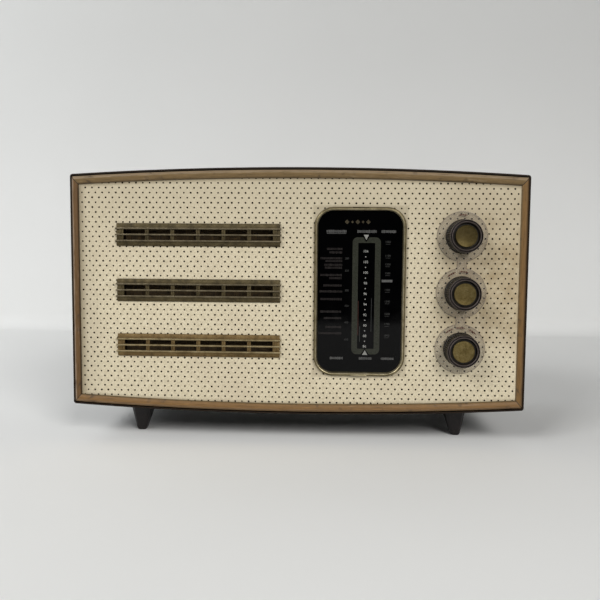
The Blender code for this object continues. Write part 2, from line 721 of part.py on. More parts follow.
def wave_change_switch():
    """Two wafers behind the chassis plate, held apart by a collar."""
    y = REAR_OF_PLATE
    profile = [(SPINDLE_BORE, CHASSIS_Y - 5 * MM), (4.7 * MM, CHASSIS_Y - 5 * MM), (4.7 * MM, y),
               (15 * MM, y), (15 * MM, y + 3 * MM), (7 * MM, y + 3 * MM), (7 * MM, y + 9 * MM),
               (17 * MM, y + 9 * MM), (17 * MM, y + 10.6 * MM), (7 * MM, y + 10.6 * MM),
               (7 * MM, y + 17 * MM), (17 * MM, y + 17 * MM), (17 * MM, y + 18.6 * MM),
               (SPINDLE_BORE, y + 18.6 * MM)]
    mesh = turned("wave_change_switch", profile, 16)
    add("wave_change_switch", mesh, finish("paxolin", (0.2, 0.1, 0.04), 0.5), (KNOB_X, 0, ROWS["bottom"]))


def gang_frame():
    """Frame of the tuning gang: end plates, side bars and the fixed vanes in one comb."""
    front, back = REAR_OF_PLATE, REAR_OF_PLATE + GANG_DEPTH
    comb = box("gang_frame", (-23 * MM, front, -22 * MM), (23 * MM, back, -1 * MM))
    frame = add("gang_frame", comb, steel(), (DRUM_X, 0, DRUM_Z))
    pitch, vane = VANE_PITCH, 1.2 * MM
    slots = []
    for i in range(VANE_COUNT):
        slot_front = front + SHEET + i * pitch
        slot_back = slot_front + pitch - vane
        slots.append(box("slot", (-20.4 * MM, slot_front, -30 * MM), (20.4 * MM, slot_back, 30 * MM)))
    cut(frame, *slots)
    cut(frame, rod("notch", 4.4 * MM, front + 0.5 * MM, back - 0.5 * MM, sides=12))
    for y in (front, back - SHEET):
        fuse(frame, box("end", (-23 * MM, y, -22 * MM), (23 * MM, y + SHEET, 22 * MM)))
    cut(frame, rod("bearing", SPINDLE_BORE, front - MM, back + MM, sides=16))


# Loudspeaker ----------------------------------------------------------------------------------

def loudspeaker_frame():
    """Pressed basket with its magnet: the voice coil's gap is the ring between pole and pot."""
    front = BAFFLE_BACK + GAP + 0.8 * MM + GAP
    profile = [(0, -24), (11, -24), (11, -8), (14, -8), (14, -20), (27, -20), (56.5, -55.2)]
    profile = [(r * MM, y * MM) for r, y in profile]
    profile += [(58 * MM, front), (SPEAKER_RADIUS, front), (SPEAKER_RADIUS, front + 1.2 * MM),
                (58.5 * MM, front + 1.4 * MM), (28.5 * MM, -18.6 * MM), (30 * MM, -18.6 * MM),
                (30 * MM, SPEAKER_BACK), (0, SPEAKER_BACK)]
    frame = turned("loudspeaker_frame", profile, 24)
    item = add("loudspeaker_frame", frame, steel(), (LOUVRE_X, 0, MIDDLE_ROW))
    windows = []
    for i in range(4):
        window = box("window", (30 * MM, -50 * MM, -15 * MM), (62 * MM, -27 * MM, 15 * MM))
        window.transform(Matrix.Rotation(math.radians(45 + 90 * i), 4, "Y"))
        windows.append(window)
    cut(item, *windows)


def loudspeaker_cone():
    """Paper cone, dust cap and voice coil former in one."""
    profile = [(0, -33.5), (7, -32.5), (13, -29), (54.8, -55.6), (54.8, -54.6), (14.5, -28.4), (13, -26.6),
               (13, -12), (12, -12), (12, -28.6), (6.6, -31.6), (0, -32.5)]
    profile = [(radius * MM, y * MM) for radius, y in profile]
    axis = axis_empty("cone_axis", (LOUVRE_X, 0, MIDDLE_ROW))
    add("loudspeaker_cone", turned("loudspeaker_cone", profile, 24), paper(), axis.location, axis)


# Controls -------------------------------------------------------------------------------------

def knob_mesh(name):
    """Ribbed-side knob: skirt, tapering side, rim, bead and the seat for its disc."""
    depth = KNOB_BACK - KNOB_FRONT
    profile = [(SPINDLE_BORE, 0), (KNOB_RADIUS, 0), (KNOB_RADIUS, -2.2 * MM), (12.7 * MM, -2.6 * MM),
               (12.3 * MM, -depth + 1.4 * MM), (11.2 * MM, -depth), (10.6 * MM, -depth + 0.2 * MM),
               (9.2 * MM, -depth + 0.7 * MM), (9.2 * MM, -depth + 1.9 * MM), (0, -depth + 1.9 * MM),
               (0, -4.5 * MM), (SPINDLE_BORE, -4.5 * MM)]
    return turned(name, profile, 28)


def disc_mesh(name):
    depth = KNOB_BACK - KNOB_FRONT
    seat = -depth + 1.9 * MM - GAP
    profile = [(0, seat), (DISC_RADIUS, seat), (DISC_RADIUS, -depth + 1.1 * MM), (6 * MM, -depth + 0.7 * MM),
               (0, -depth + 0.5 * MM)]
    return turned(name, profile, 24)


def control(kind, row, spindle_profile):
    """One knob with its gold disc and spindle, on an empty on the axis they turn about."""
    axis = axis_empty(f"{kind}_axis", (KNOB_X, KNOB_BACK, ROWS[row]))
    pieces = ((f"{kind}_knob", knob_mesh(f"{kind}_knob"), black_plastic()),
              (f"{kind}_knob_disc", disc_mesh(f"{kind}_knob_disc"), brass()),
              (f"{kind}_spindle", turned(f"{kind}_spindle", spindle_profile, 16), steel()))
    for name, mesh, material in pieces:
        add(name, mesh, material, axis.location, axis)


def plain_spindle(end_y):
    """A spindle from inside its knob back to a control behind the chassis plate."""
    front = -4.2 * MM
    return [(0, front), (SPINDLE_RADIUS, front), (SPINDLE_RADIUS, end_y - KNOB_BACK), (0, end_y - KNOB_BACK)]


def tuning_spindle():
    """Necked where the drive cord is wound on it, with a collar behind the neck."""
    neck = SPINDLE_PITCH - CORD / 2 - GAP
    marks = [(-4.2 * MM, SPINDLE_RADIUS), (CORD_Y - 2.5 * MM - KNOB_BACK, SPINDLE_RADIUS),
             (CORD_Y - 2 * MM - KNOB_BACK, neck), (CORD_RETURN_Y + 2 * MM - KNOB_BACK, neck),
             (CORD_RETURN_Y + 2.5 * MM - KNOB_BACK, SPINDLE_RADIUS + 1.5 * MM),
             (CHASSIS_Y - GAP - KNOB_BACK, SPINDLE_RADIUS + 1.5 * MM),
             (CHASSIS_Y - GAP - KNOB_BACK, SPINDLE_RADIUS - 0.05 * MM),
             (REAR_OF_PLATE + 4 * MM - KNOB_BACK, SPINDLE_RADIUS - 0.05 * MM)]
    return [(0, marks[0][0])] + [(radius, y) for y, radius in marks] + [(0, marks[-1][0])]


# Dial drive -----------------------------------------------------------------------------------

def grooved(pitch, flange, bore, half_width):
    """Profile of a pulley or drum, its groove just clear of the cord at its pitch radius."""
    floor = pitch - CORD / 2 - 2 * GAP
    middle = CORD_Y if half_width < 3 * MM else (CORD_Y + CORD_RETURN_Y) / 2
    return [(bore, middle - half_width), (flange, middle - half_width),
            (flange, middle - half_width + 0.7 * MM), (floor, middle - half_width + 1.2 * MM),
            (floor, middle + half_width - 1.2 * MM), (flange, middle + half_width - 0.7 * MM),
            (flange, middle + half_width), (bore, middle + half_width)]


def gang():
    """Drive drum and the gang's rotor, which turn together."""
    axis = axis_empty("gang_axis", (DRUM_X, 0, DRUM_Z))
    drum = turned("drive_drum", grooved(DRUM_PITCH, 28.4 * MM, SPINDLE_BORE, 3.4 * MM), 28)
    drum = add("drive_drum", drum, finish("drum_plastic", (0.5, 0.45, 0.35), 0.5), axis.location, axis)
    holes = []
    for i in range(3):
        angle = math.radians(90 + 120 * i)
        x, z = 15 * MM * math.cos(angle), 15 * MM * math.sin(angle)
        holes.append(rod("hole", 6 * MM, CORD_Y - 5 * MM, CORD_RETURN_Y + 5 * MM, x, z, 12))
    cut(drum, *holes)
    front, back = REAR_OF_PLATE, REAR_OF_PLATE + GANG_DEPTH
    shaft = rod("gang_rotor", SPINDLE_RADIUS, CORD_Y - 4 * MM, back + 2 * MM, sides=16)
    rotor = add("gang_rotor", shaft, steel(), axis.location, axis)
    lower_half = arc((0, 0), 19 * MM, 180, 360, 9)
    for i in range(VANE_COUNT):
        middle = front + SHEET + i * VANE_PITCH + (VANE_PITCH - 1.2 * MM) / 2
        fuse(rotor, prism("vane", lower_half, middle - 0.6 * MM, middle + 0.6 * MM))


def pulleys():
    for name, (x, z) in (("upper_pulley", UPPER_PULLEY), ("lower_pulley", LOWER_PULLEY)):
        axis = axis_empty(f"{name}_axis", (x, 0, z))
        profile = grooved(PULLEY_PITCH, 6 * MM, 1.85 * MM, 2.2 * MM)
        add(name, turned(name, profile, 14), brass(), axis.location, axis)


def dial_pointer():
    """Clip on the cord's upright run, a stem past the backplate, and the arm across the scales."""
    axis = axis_empty("pointer_axis", (POINTER_X, 0, POINTER_TOP))
    clip = box("dial_pointer", (-1.8 * MM, CORD_Y - 1.6 * MM, -3 * MM), (1.8 * MM, CORD_Y + 1.3 * MM, 3 * MM))
    pointer = add("dial_pointer", clip, finish("pointer_white", (0.75, 0.72, 0.62), 0.4), axis.location, axis)
    cord_way = box("cord_way", (-0.8 * MM, CORD_Y - 0.75 * MM, -4 * MM),
                   (3 * MM, CORD_Y + 0.75 * MM, 4 * MM))
    cut(pointer, cord_way)
    fuse(pointer,
         box("stem", (-1.8 * MM, -61 * MM, -1.5 * MM), (-0.9 * MM, CORD_Y - 0.9 * MM, 1.5 * MM)),
         box("arm", (-36 * MM, -61 * MM, -0.5 * MM), (-0.9 * MM, -60.2 * MM, 0.5 * MM)))


def tangent_angle(first, first_radius, second, second_radius):
    """Direction, seen from the front, from both centres to a tangent's points. A positive radius
    puts the point on the left of the way from the first circle to the second."""
    dx, dz = second[0] - first[0], second[1] - first[1]
    lean = math.asin((first_radius - second_radius) / math.hypot(dx, dz))
    return math.degrees(math.atan2(dz, dx)) + 90 - math.degrees(lean)


def winding(centre, radius, start, end, front, back, step):
    """Points round a circle from one angle to another, moving evenly from one y to another."""
    count = max(1, round(abs(end - start) / step))
    points = []
    for i in range(count + 1):
        angle = math.radians(start + (end - start) * i / count)
        points.append((centre[0] + radius * math.cos(angle), front + (back - front) * i / count,
                       centre[1] + radius * math.sin(angle)))
    return points


def cord_route():
    """Drum, tuning spindle, upper pulley, the pointer's run, lower pulley and back to the drum."""
    drum, spindle = (DRUM_X, DRUM_Z), (KNOB_X, ROWS["top"])
    leave_drum = tangent_angle(drum, DRUM_PITCH, spindle, SPINDLE_PITCH)
    leave_spindle = tangent_angle(spindle, SPINDLE_PITCH, UPPER_PULLEY, -PULLEY_PITCH)
    reach_drum = tangent_angle(LOWER_PULLEY, PULLEY_PITCH, drum, DRUM_PITCH)
    route = winding(drum, DRUM_PITCH, reach_drum, leave_drum - 360, CORD_Y, CORD_RETURN_Y, 18)
    route += winding(spindle, SPINDLE_PITCH, leave_drum, leave_spindle - 3 * 360, CORD_RETURN_Y, CORD_Y, 36)
    route += winding(UPPER_PULLEY, PULLEY_PITCH, leave_spindle - 180, 180, CORD_Y, CORD_Y, 25)
    route += winding(LOWER_PULLEY, PULLEY_PITCH, 0, reach_drum - 360, CORD_Y, CORD_Y, 25)
    return route


def drive_cord():
    curve = bpy.data.curves.new("drive_cord", "CURVE")
    curve.dimensions = "3D"
    curve.bevel_depth = CORD / 2
    curve.bevel_resolution = 1
    spline = curve.splines.new("POLY")
    route = cord_route()
    spline.points.add(len(route) - 1)
    for point, place in zip(spline.points, route):
        point.co = (*place, 1.0)
    spline.use_cyclic_u = True
    item = bpy.data.objects.new("drive_cord", curve)
    bpy.context.scene.collection.objects.link(item)
    curve.materials.append(cord_fibre())


# Assembly -------------------------------------------------------------------------------------

def clear_scene():
    for item in list(bpy.data.objects):
        bpy.data.objects.remove(item, do_unlink=True)


def main():
    clear_scene()
    cabinet_panels()
    leathercloth_wrap()
    front_moulding()
    baffle_and_covering()
    louvre_grilles()
    speaker_cloth()
    dial_bezel()
    dial_glass()
    dial_backplate()
    knob_escutcheon()
    feet()
    back_cover()
    cable_grommet()
    aerial_socket()
    back_screws()
    chassis()
    shelf_items()
    valves()
    ferrite_rod_aerial()
    volume_control()
    wave_change_switch()
    gang_frame()
    loudspeaker_frame()
    loudspeaker_cone()
    control("tuning", "top", tuning_spindle())
    control("volume", "middle", plain_spindle(REAR_OF_PLATE + 11 * MM))
    control("band", "bottom", plain_spindle(REAR_OF_PLATE + 18 * MM))
    gang()
    pulleys()
    dial_pointer()
    drive_cord()


main()
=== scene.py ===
"""Looks of the valve table radio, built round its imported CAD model.

Metres, +Z up, the front faces -Y. Pieces that show are rebuilt in finer mesh here, in the places
that the frame gives, and every CAD node that stays gets a procedural material.
"""

import json
import math
import random

import bmesh
import bpy
from mathutils import Matrix, Vector


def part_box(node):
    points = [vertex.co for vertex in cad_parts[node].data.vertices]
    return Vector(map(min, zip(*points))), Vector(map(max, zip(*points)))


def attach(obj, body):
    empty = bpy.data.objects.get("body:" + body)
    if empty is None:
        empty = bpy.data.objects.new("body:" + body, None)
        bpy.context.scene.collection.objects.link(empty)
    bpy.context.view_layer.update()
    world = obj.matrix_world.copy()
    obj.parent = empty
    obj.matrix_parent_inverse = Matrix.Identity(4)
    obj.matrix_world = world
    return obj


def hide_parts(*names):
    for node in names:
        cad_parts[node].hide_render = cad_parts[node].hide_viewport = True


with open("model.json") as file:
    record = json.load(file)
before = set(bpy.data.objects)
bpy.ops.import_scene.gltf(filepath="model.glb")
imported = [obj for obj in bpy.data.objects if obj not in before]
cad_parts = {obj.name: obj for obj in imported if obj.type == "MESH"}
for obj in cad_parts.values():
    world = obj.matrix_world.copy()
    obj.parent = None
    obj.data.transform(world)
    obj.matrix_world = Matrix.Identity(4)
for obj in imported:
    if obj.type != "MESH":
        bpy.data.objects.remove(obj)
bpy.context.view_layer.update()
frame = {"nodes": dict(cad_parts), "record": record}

MM = 0.001
CABINET = "cabinet"
ROWS = ("top", "middle", "bottom")

# Sizes that the frame gives.
WRAP_LOW, WRAP_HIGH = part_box("leathercloth_wrap")
HALF_WIDTH = WRAP_HIGH.x
COVERING_LOW, COVERING_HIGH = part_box("front_covering")
COVERING_Y = COVERING_LOW.y
SEAT_Y = COVERING_Y - 0.3 * MM
DIAL_LOW, DIAL_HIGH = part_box("dial_bezel")
DIAL = (DIAL_LOW + DIAL_HIGH) / 2
GLASS_LOW, GLASS_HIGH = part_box("dial_glass")
GLASS_WIDTH, GLASS_HEIGHT = GLASS_HIGH.x - GLASS_LOW.x, GLASS_HIGH.z - GLASS_LOW.z
PLATE_LOW, PLATE_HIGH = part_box("knob_escutcheon")
COVER_LOW, COVER_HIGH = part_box("back_cover")
KNOBS = {kind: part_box(f"{kind}_knob") for kind in ("tuning", "volume", "band")}
KNOB_X = (KNOBS["volume"][0].x + KNOBS["volume"][1].x) / 2
KNOB_Z = {kind: (low.z + high.z) / 2 for kind, (low, high) in KNOBS.items()}
LOUVRES = {row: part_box(f"louvre_grille_{row}") for row in ROWS}
LOUVRE_X = (LOUVRES["top"][0].x + LOUVRES["top"][1].x) / 2
LOUVRE_Z = {row: (low.z + high.z) / 2 for row, (low, high) in LOUVRES.items()}

# Sizes that this script adds.
BOW = 5.7 * MM
CORNER_LOW, CORNER_HIGH = WRAP_LOW.z + BOW, WRAP_HIGH.z - BOW
LINING, SIDE_LINING = 2.0 * MM, 1.35 * MM
RAIL, STILE = 6.3 * MM, 5.3 * MM
HOLE_PITCH_X, HOLE_PITCH_Z = 5.365 * MM, 3.811 * MM
HOLE_START = (-166.2 * MM, 198.88 * MM)
HOLE_RADIUS = 0.76 * MM
BEZEL_RADIUS, GLASS_RADIUS = 15 * MM, 13 * MM
FLUTES = 46


# Mesh helpers ---------------------------------------------------------------------------------

def arc(centre, radius, start, end, steps):
    """Points along an arc. Angles are in degrees from +X towards +Z."""
    points = []
    for i in range(steps + 1):
        angle = math.radians(start + (end - start) * i / steps)
        points.append((centre[0] + radius * math.cos(angle), centre[1] + radius * math.sin(angle)))
    return points


def rounded_rectangle(width, height, radius, centre, steps=12):
    x, z = width / 2 - radius, height / 2 - radius
    corners = ((x, -z, -90), (x, z, 0), (-x, z, 90), (-x, -z, 180))
    points = []
    for cx, cz, start in corners:
        points += arc((cx + centre[0], cz + centre[1]), radius, start, start + 90, steps)
    return points


def top_z(x):
    return CORNER_HIGH + BOW * (1 - (x / HALF_WIDTH) ** 2)


def bottom_z(x):
    return CORNER_LOW - BOW * (1 - (x / HALF_WIDTH) ** 2)


def cabinet_outline(inset, radius, stations=40, corner_steps=6):
    """The bowed front shape, drawn in by the inset, with rounded corners."""
    edge = HALF_WIDTH - inset - radius
    bottom = [edge * (2 * i / stations - 1) for i in range(1, stations)]
    low, high = bottom_z(edge) + inset + radius, top_z(edge) - inset - radius
    points = [(x, bottom_z(x) + inset) for x in bottom]
    points += arc((edge, low), radius, -90, 0, corner_steps)
    points += arc((edge, high), radius, 0, 90, corner_steps)
    points += [(x, top_z(x) - inset) for x in reversed(bottom)]
    points += arc((-edge, high), radius, 90, 180, corner_steps)
    points += arc((-edge, low), radius, 180, 270, corner_steps)
    return points


def quads_between(bm, near, far, slot=0, closed=True):
    """Quads from one row of vertices to the next."""
    count = len(near)
    faces = []
    for i in range(count if closed else count - 1):
        j = (i + 1) % count
        face = bm.faces.new((near[i], near[j], far[j], far[i]))
        face.material_index = slot
        faces.append(face)
    return faces


def skin(bm, rings, closed=True, wrap=False, slots=None):
    """A surface through rings of points. wrap joins the last ring to the first."""
    rows = [[bm.verts.new(point) for point in ring] for ring in rings]
    pairs = list(zip(rows, rows[1:] + (rows[:1] if wrap else [])))
    for i, (near, far) in enumerate(pairs):
        quads_between(bm, near, far, slots[i] if slots else 0, closed)
    return rows


def slab(bm, outline, front, back, slot=0, rounding=0.0):
    """A flat plate standing in XZ. rounding takes its front edge off."""
    rings = [[(x, back, z) for x, z in outline], [(x, front + rounding, z) for x, z in outline]]
    if rounding:
        centre_x = sum(x for x, z in outline) / len(outline)
        centre_z = sum(z for x, z in outline) / len(outline)
        reach = max(math.hypot(x - centre_x, z - centre_z) for x, z in outline)
        shrink = 1 - rounding / reach
        rings.append([(centre_x + (x - centre_x) * shrink, front,
                       centre_z + (z - centre_z) * shrink) for x, z in outline])
    rows = skin(bm, rings, slots=[slot] * (len(rings) - 1))
    for row in (rows[0], rows[-1]):
        bm.faces.new(row).material_index = slot


def block(bm, low, high, radius=0.0, slot=0, segments=2):
    """A box with rounded edges."""
    low, high = Vector(low), Vector(high)
    verts = bmesh.ops.create_cube(bm, size=1.0)["verts"]
    for vert in verts:
        vert.co = [a + (c + 0.5) * (b - a) for a, b, c in zip(low, high, vert.co)]
    faces = {face for vert in verts for face in vert.link_faces}
    for face in faces:
        face.material_index = slot
    if radius:
        edges = list({edge for vert in verts for edge in vert.link_edges})
        bmesh.ops.bevel(bm, geom=edges, offset=radius, segments=segments, profile=0.5,
                        affect="EDGES", material=slot)


def lathe(bm, profile, sides, slots=None, waist=None):
    """Turns (radius, y) points about Y. waist(angle, index) scales a point's radius."""
    rings = []
    for index, (radius, y) in enumerate(profile):
        ring = []
        for i in range(sides):
            angle = 2 * math.pi * i / sides
            r = radius * (waist(angle, index) if waist else 1)
            ring.append((r * math.cos(angle), y, r * math.sin(angle)))
        rings.append(ring)
    rows = skin(bm, rings, slots=slots)
    for row, slot in ((rows[0], slots[0] if slots else 0), (rows[-1], slots[-1] if slots else 0)):
        bm.faces.new(row).material_index = slot


def piece(name, bm, materials, body=CABINET, replaces=(), at=(0, 0, 0), sharp=35):
    """Makes the object, sets its smooth shading, and rides it on its CAD body."""
    bmesh.ops.recalc_face_normals(bm, faces=bm.faces)
    mesh = bpy.data.meshes.new(name)
    bm.to_mesh(mesh)
    bm.free()
    for material in materials:
        mesh.materials.append(material)
    mesh.shade_smooth()
    mesh.set_sharp_from_angle(angle=math.radians(sharp))
    item = bpy.data.objects.new(name, mesh)
    bpy.context.scene.collection.objects.link(item)
    item.location = at
    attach(item, body)
    if replaces:
        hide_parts(*replaces)
    return item


def tool_object(name, bm):
    """A mesh used only by a Boolean. Its faces keep their slot numbers in what it cuts."""
    bmesh.ops.recalc_face_normals(bm, faces=bm.faces)
    mesh = bpy.data.meshes.new(name)
    bm.to_mesh(mesh)
    bm.free()
    item = bpy.data.objects.new(name, mesh)
    bpy.context.scene.collection.objects.link(item)
    return item


def cut(item, tool):
    """Cuts the tool's mesh out of the item's for good, and removes the tool."""
    modifier = item.modifiers.new("cut", "BOOLEAN")
    modifier.object = tool
    modifier.operation = "DIFFERENCE"
    modifier.solver = "MANIFOLD"
    evaluated = item.evaluated_get(bpy.context.evaluated_depsgraph_get())
    mesh = bpy.data.meshes.new_from_object(evaluated)
    item.modifiers.clear()
    item.data = mesh
    bpy.data.objects.remove(tool)


# Material helpers -----------------------------------------------------------------------------

class Finish:
    """A Principled material and short ways to add nodes to it."""

    def __init__(self, name, roughness=0.5, metallic=0.0, place="Object", **sockets):
        self.material = bpy.data.materials.new(name)
        self.material.use_nodes = True
        self.tree = self.material.node_tree
        self.shader = self.tree.nodes["Principled BSDF"]
        self.set("Roughness", roughness)
        self.set("Metallic", metallic)
        for socket, value in sockets.items():
            self.set(socket.replace("_", " "), value)
        self.place = self.tree.nodes.new("ShaderNodeTexCoord").outputs[place]

    def set(self, socket, value):
        if isinstance(value, bpy.types.NodeSocket):
            self.tree.links.new(value, self.shader.inputs[socket])
        elif isinstance(value, tuple):
            self.shader.inputs[socket].default_value = (*value, 1.0)
        else:
            self.shader.inputs[socket].default_value = value

    def feed(self, node, socket, value):
        if isinstance(value, bpy.types.NodeSocket):
            self.tree.links.new(value, node.inputs[socket])
        else:
            node.inputs[socket].default_value = value

    def stretched(self, scale, shift=(0, 0, 0)):
        """The object's coordinates, each axis times its scale."""
        node = self.tree.nodes.new("ShaderNodeMapping")
        node.inputs["Scale"].default_value = scale
        node.inputs["Location"].default_value = shift
        self.tree.links.new(self.place, node.inputs["Vector"])
        return node.outputs["Vector"]

    def noise(self, size, detail=3.0, place=None, distortion=0.0, roughness=0.55):
        """Cloudy noise with features of that size in metres."""
        node = self.tree.nodes.new("ShaderNodeTexNoise")
        node.inputs["Scale"].default_value = 1 / size
        node.inputs["Detail"].default_value = detail
        node.inputs["Roughness"].default_value = roughness
        node.inputs["Distortion"].default_value = distortion
        self.tree.links.new(place or self.place, node.inputs["Vector"])
        return node.outputs["Fac"]

    def cells(self, size, feature="F1", place=None):
        node = self.tree.nodes.new("ShaderNodeTexVoronoi")
        node.feature = feature
        node.inputs["Scale"].default_value = 1 / size
        self.tree.links.new(place or self.place, node.inputs["Vector"])
        return node.outputs["Distance"]

    def ramp(self, source, *stops):
        """Colour or grey level by source: stops are (position, (r, g, b)) or (position, level)."""
        node = self.tree.nodes.new("ShaderNodeValToRGB")
        elements = node.color_ramp.elements
        while len(elements) < len(stops):
            elements.new(0.5)
        for element, (position, colour) in zip(elements, stops):
            element.position = position
            element.color = (*(colour if isinstance(colour, tuple) else (colour,) * 3), 1.0)
        self.tree.links.new(source, node.inputs["Fac"])
        return node.outputs["Color"]

    def mix(self, share, first, second, kind="MIX"):
        node = self.tree.nodes.new("ShaderNodeMix")
        node.data_type = "RGBA"
        node.blend_type = kind
        self.feed(node, "Factor", share)
        for socket, value in ((6, first), (7, second)):
            self.feed(node, socket, (*value, 1.0) if isinstance(value, tuple) else value)
        return node.outputs[2]

    def maths(self, operation, first, second=0.0):
        node = self.tree.nodes.new("ShaderNodeMath")
        node.operation = operation
        node.use_clamp = True
        self.feed(node, 0, first)
        self.feed(node, 1, second)
        return node.outputs[0]

    def axis(self, name):
        node = self.tree.nodes.new("ShaderNodeSeparateXYZ")
        self.tree.links.new(self.place, node.inputs[0])
        return node.outputs[name]

    def span(self, source, low, high):
        """0 where source is low, 1 where it is high, held between them."""
        node = self.tree.nodes.new("ShaderNodeMapRange")
        node.interpolation_type = "SMOOTHSTEP"
        self.feed(node, "Value", source)
        node.inputs["From Min"].default_value = low
        node.inputs["From Max"].default_value = high
        return node.outputs["Result"]

    def bump(self, height, depth, strength=1.0, under=None):
        node = self.tree.nodes.new("ShaderNodeBump")
        node.inputs["Distance"].default_value = depth
        node.inputs["Strength"].default_value = strength
        self.tree.links.new(height, node.inputs["Height"])
        if under:
            self.tree.links.new(under, node.inputs["Normal"])
        self.tree.links.new(node.outputs["Normal"], self.shader.inputs["Normal"])
        return node.outputs["Normal"]


# Materials ------------------------------------------------------------------------------------

def leathercloth():
    """Near-black embossed cloth: pebbled grain over a faint weave, rubbed brown at the front edge."""
    f = Finish("leathercloth", Specular_IOR_Level=0.13)
    pebbles = f.cells(0.75 * MM, "SMOOTH_F1")
    black = f.ramp(f.noise(14 * MM), (0.35, (0.0035, 0.003, 0.0026)), (0.7, (0.0065, 0.0055, 0.0048)))
    rubbed = f.span(f.axis("Y"), WRAP_LOW.y + 1.2 * MM, WRAP_LOW.y)
    f.set("Base Color", f.mix(rubbed, black, (0.016, 0.010, 0.006)))
    f.set("Roughness", f.ramp(f.noise(5 * MM), (0.3, 0.54), (0.75, 0.64)))
    fine = f.bump(f.noise(0.35 * MM, 2.0), 0.05 * MM, 0.35)
    f.bump(pebbles, 0.25 * MM, 0.9, under=fine)
    return f.material


def moulding_wood(name, length, inner, outer, lip):
    """Stained wood, with painted light and shade in its outer, inner and lip tones. U runs along the grain in metres
    and V from the outer edge, 0, to the inner, 1.
    """
    f = Finish(name, place="UV", Specular_IOR_Level=0.3)
    across = f.axis("Y")
    grain = f.stretched((0.035, 0.006, 1))
    streaks = f.noise(0.55 * MM, 4.0, grain, distortion=0.3, roughness=0.65)
    pores = f.noise(0.22 * MM, 3.0, grain, roughness=0.8)
    patches = f.noise(9 * MM, 4.0, f.stretched((1, 0.006, 1)))
    # Painted light and shade: the outer tone over the outer part of the section, the inner tone over the inner part.
    lit_shaded_split = f.span(f.mix(0.25, across, patches), 0.28, 0.46)
    colour = f.mix(lit_shaded_split, outer, inner)
    # The lip tone over the inner edge: painted shade on the top, bottom and left, painted light on the right.
    colour = f.mix(f.span(across, 0.80, 0.97), colour, lip)
    colour = f.mix(f.ramp(streaks, (0.30, 0.75), (0.48, 0.0)), colour, tuple(c * 0.42 for c in inner))
    colour = f.mix(f.ramp(streaks, (0.56, 0.0), (0.74, 0.7)), colour, tuple(min(1, c * 1.65) for c in inner))
    colour = f.mix(f.ramp(pores, (0.28, 0.8), (0.42, 0.0)), colour, tuple(c * 0.3 for c in inner))
    wear_and_sheen = f.ramp(f.noise(3 * MM, 5.0, f.stretched((0.12, 0.006, 1)), roughness=0.7), (0.58, 0.0), (0.74, 0.5))
    colour = f.mix(wear_and_sheen, colour, tuple(min(1, c * 1.4 + 0.02) for c in outer))
    grime = f.ramp(f.noise(6 * MM, 5.0, f.stretched((1, 0.006, 1), (0.4, 0.1, 0.7))), (0.58, 0.0), (0.76, 0.75))
    colour = f.mix(grime, colour, (0.03, 0.02, 0.014))
    along = f.axis("X")
    mitre = f.maths("MAXIMUM", f.span(along, 0.6 * MM, 0.1 * MM), f.span(along, length - 0.6 * MM, length - 0.1 * MM))
    colour = f.mix(mitre, colour, (0.018, 0.012, 0.008))
    f.set("Base Color", colour)
    f.set("Roughness", f.ramp(streaks, (0.3, 0.42), (0.8, 0.62)))
    f.bump(streaks, 0.12 * MM, 0.7)
    return f.material


def cream_vinyl():
    """Aged cream vinyl on cloth: fine mottling, hand stains round the knobs, and painted shade at the top left, along
    the moulding and round the dial.
    """
    f = Finish("cream_vinyl", Specular_IOR_Level=0.25)
    cloud = f.noise(5 * MM, 6.0, roughness=0.75)
    colour = f.ramp(cloud, (0.3, (0.53, 0.47, 0.345)), (0.5, (0.64, 0.572, 0.418)), (0.75, (0.71, 0.64, 0.48)))
    speck = f.ramp(f.noise(0.7 * MM, 3.0, roughness=0.8), (0.36, 0.9), (0.58, 0.0))
    colour = f.mix(speck, colour, (0.47, 0.40, 0.27))
    pale = f.ramp(f.noise(1.1 * MM, 3.0, roughness=0.8), (0.52, 0.0), (0.70, 0.6))
    colour = f.mix(pale, colour, (0.78, 0.70, 0.52))
    x, z = f.axis("X"), f.axis("Z")
    handled = f.maths("MULTIPLY", f.span(x, 0.088, 0.135), f.span(z, 0.058, 0.105))
    blotch = f.ramp(f.noise(17 * MM, 5.0, roughness=0.65), (0.30, 0.32), (0.68, 0.95))
    colour = f.mix(f.maths("MULTIPLY", handled, blotch), colour, (0.31, 0.23, 0.125))
    faint = f.ramp(f.noise(38 * MM, 3.0), (0.48, 0.0), (0.72, 0.3))
    colour = f.mix(faint, colour, (0.50, 0.42, 0.31))
    # Painted shade: the panel darker towards the top and towards the left.
    top_left_shade = f.maths("MULTIPLY", f.maths("MAXIMUM", f.span(z, 0.125, 0.215), f.span(x, -0.145, -0.176)), 0.76)
    colour = f.mix(top_left_shade, colour, (0.455, 0.397, 0.285))
    # Painted shade along the moulding, most at the left, and round the dial.
    colour = f.mix(painted_border_shade(f, x, z), colour, (0.17, 0.13, 0.075))
    f.set("Base Color", colour)
    f.set("Roughness", f.ramp(cloud, (0.3, 0.5), (0.8, 0.66)))
    f.bump(f.noise(0.8 * MM, 4.0, roughness=0.8), 0.06 * MM, 0.5)
    return f.material


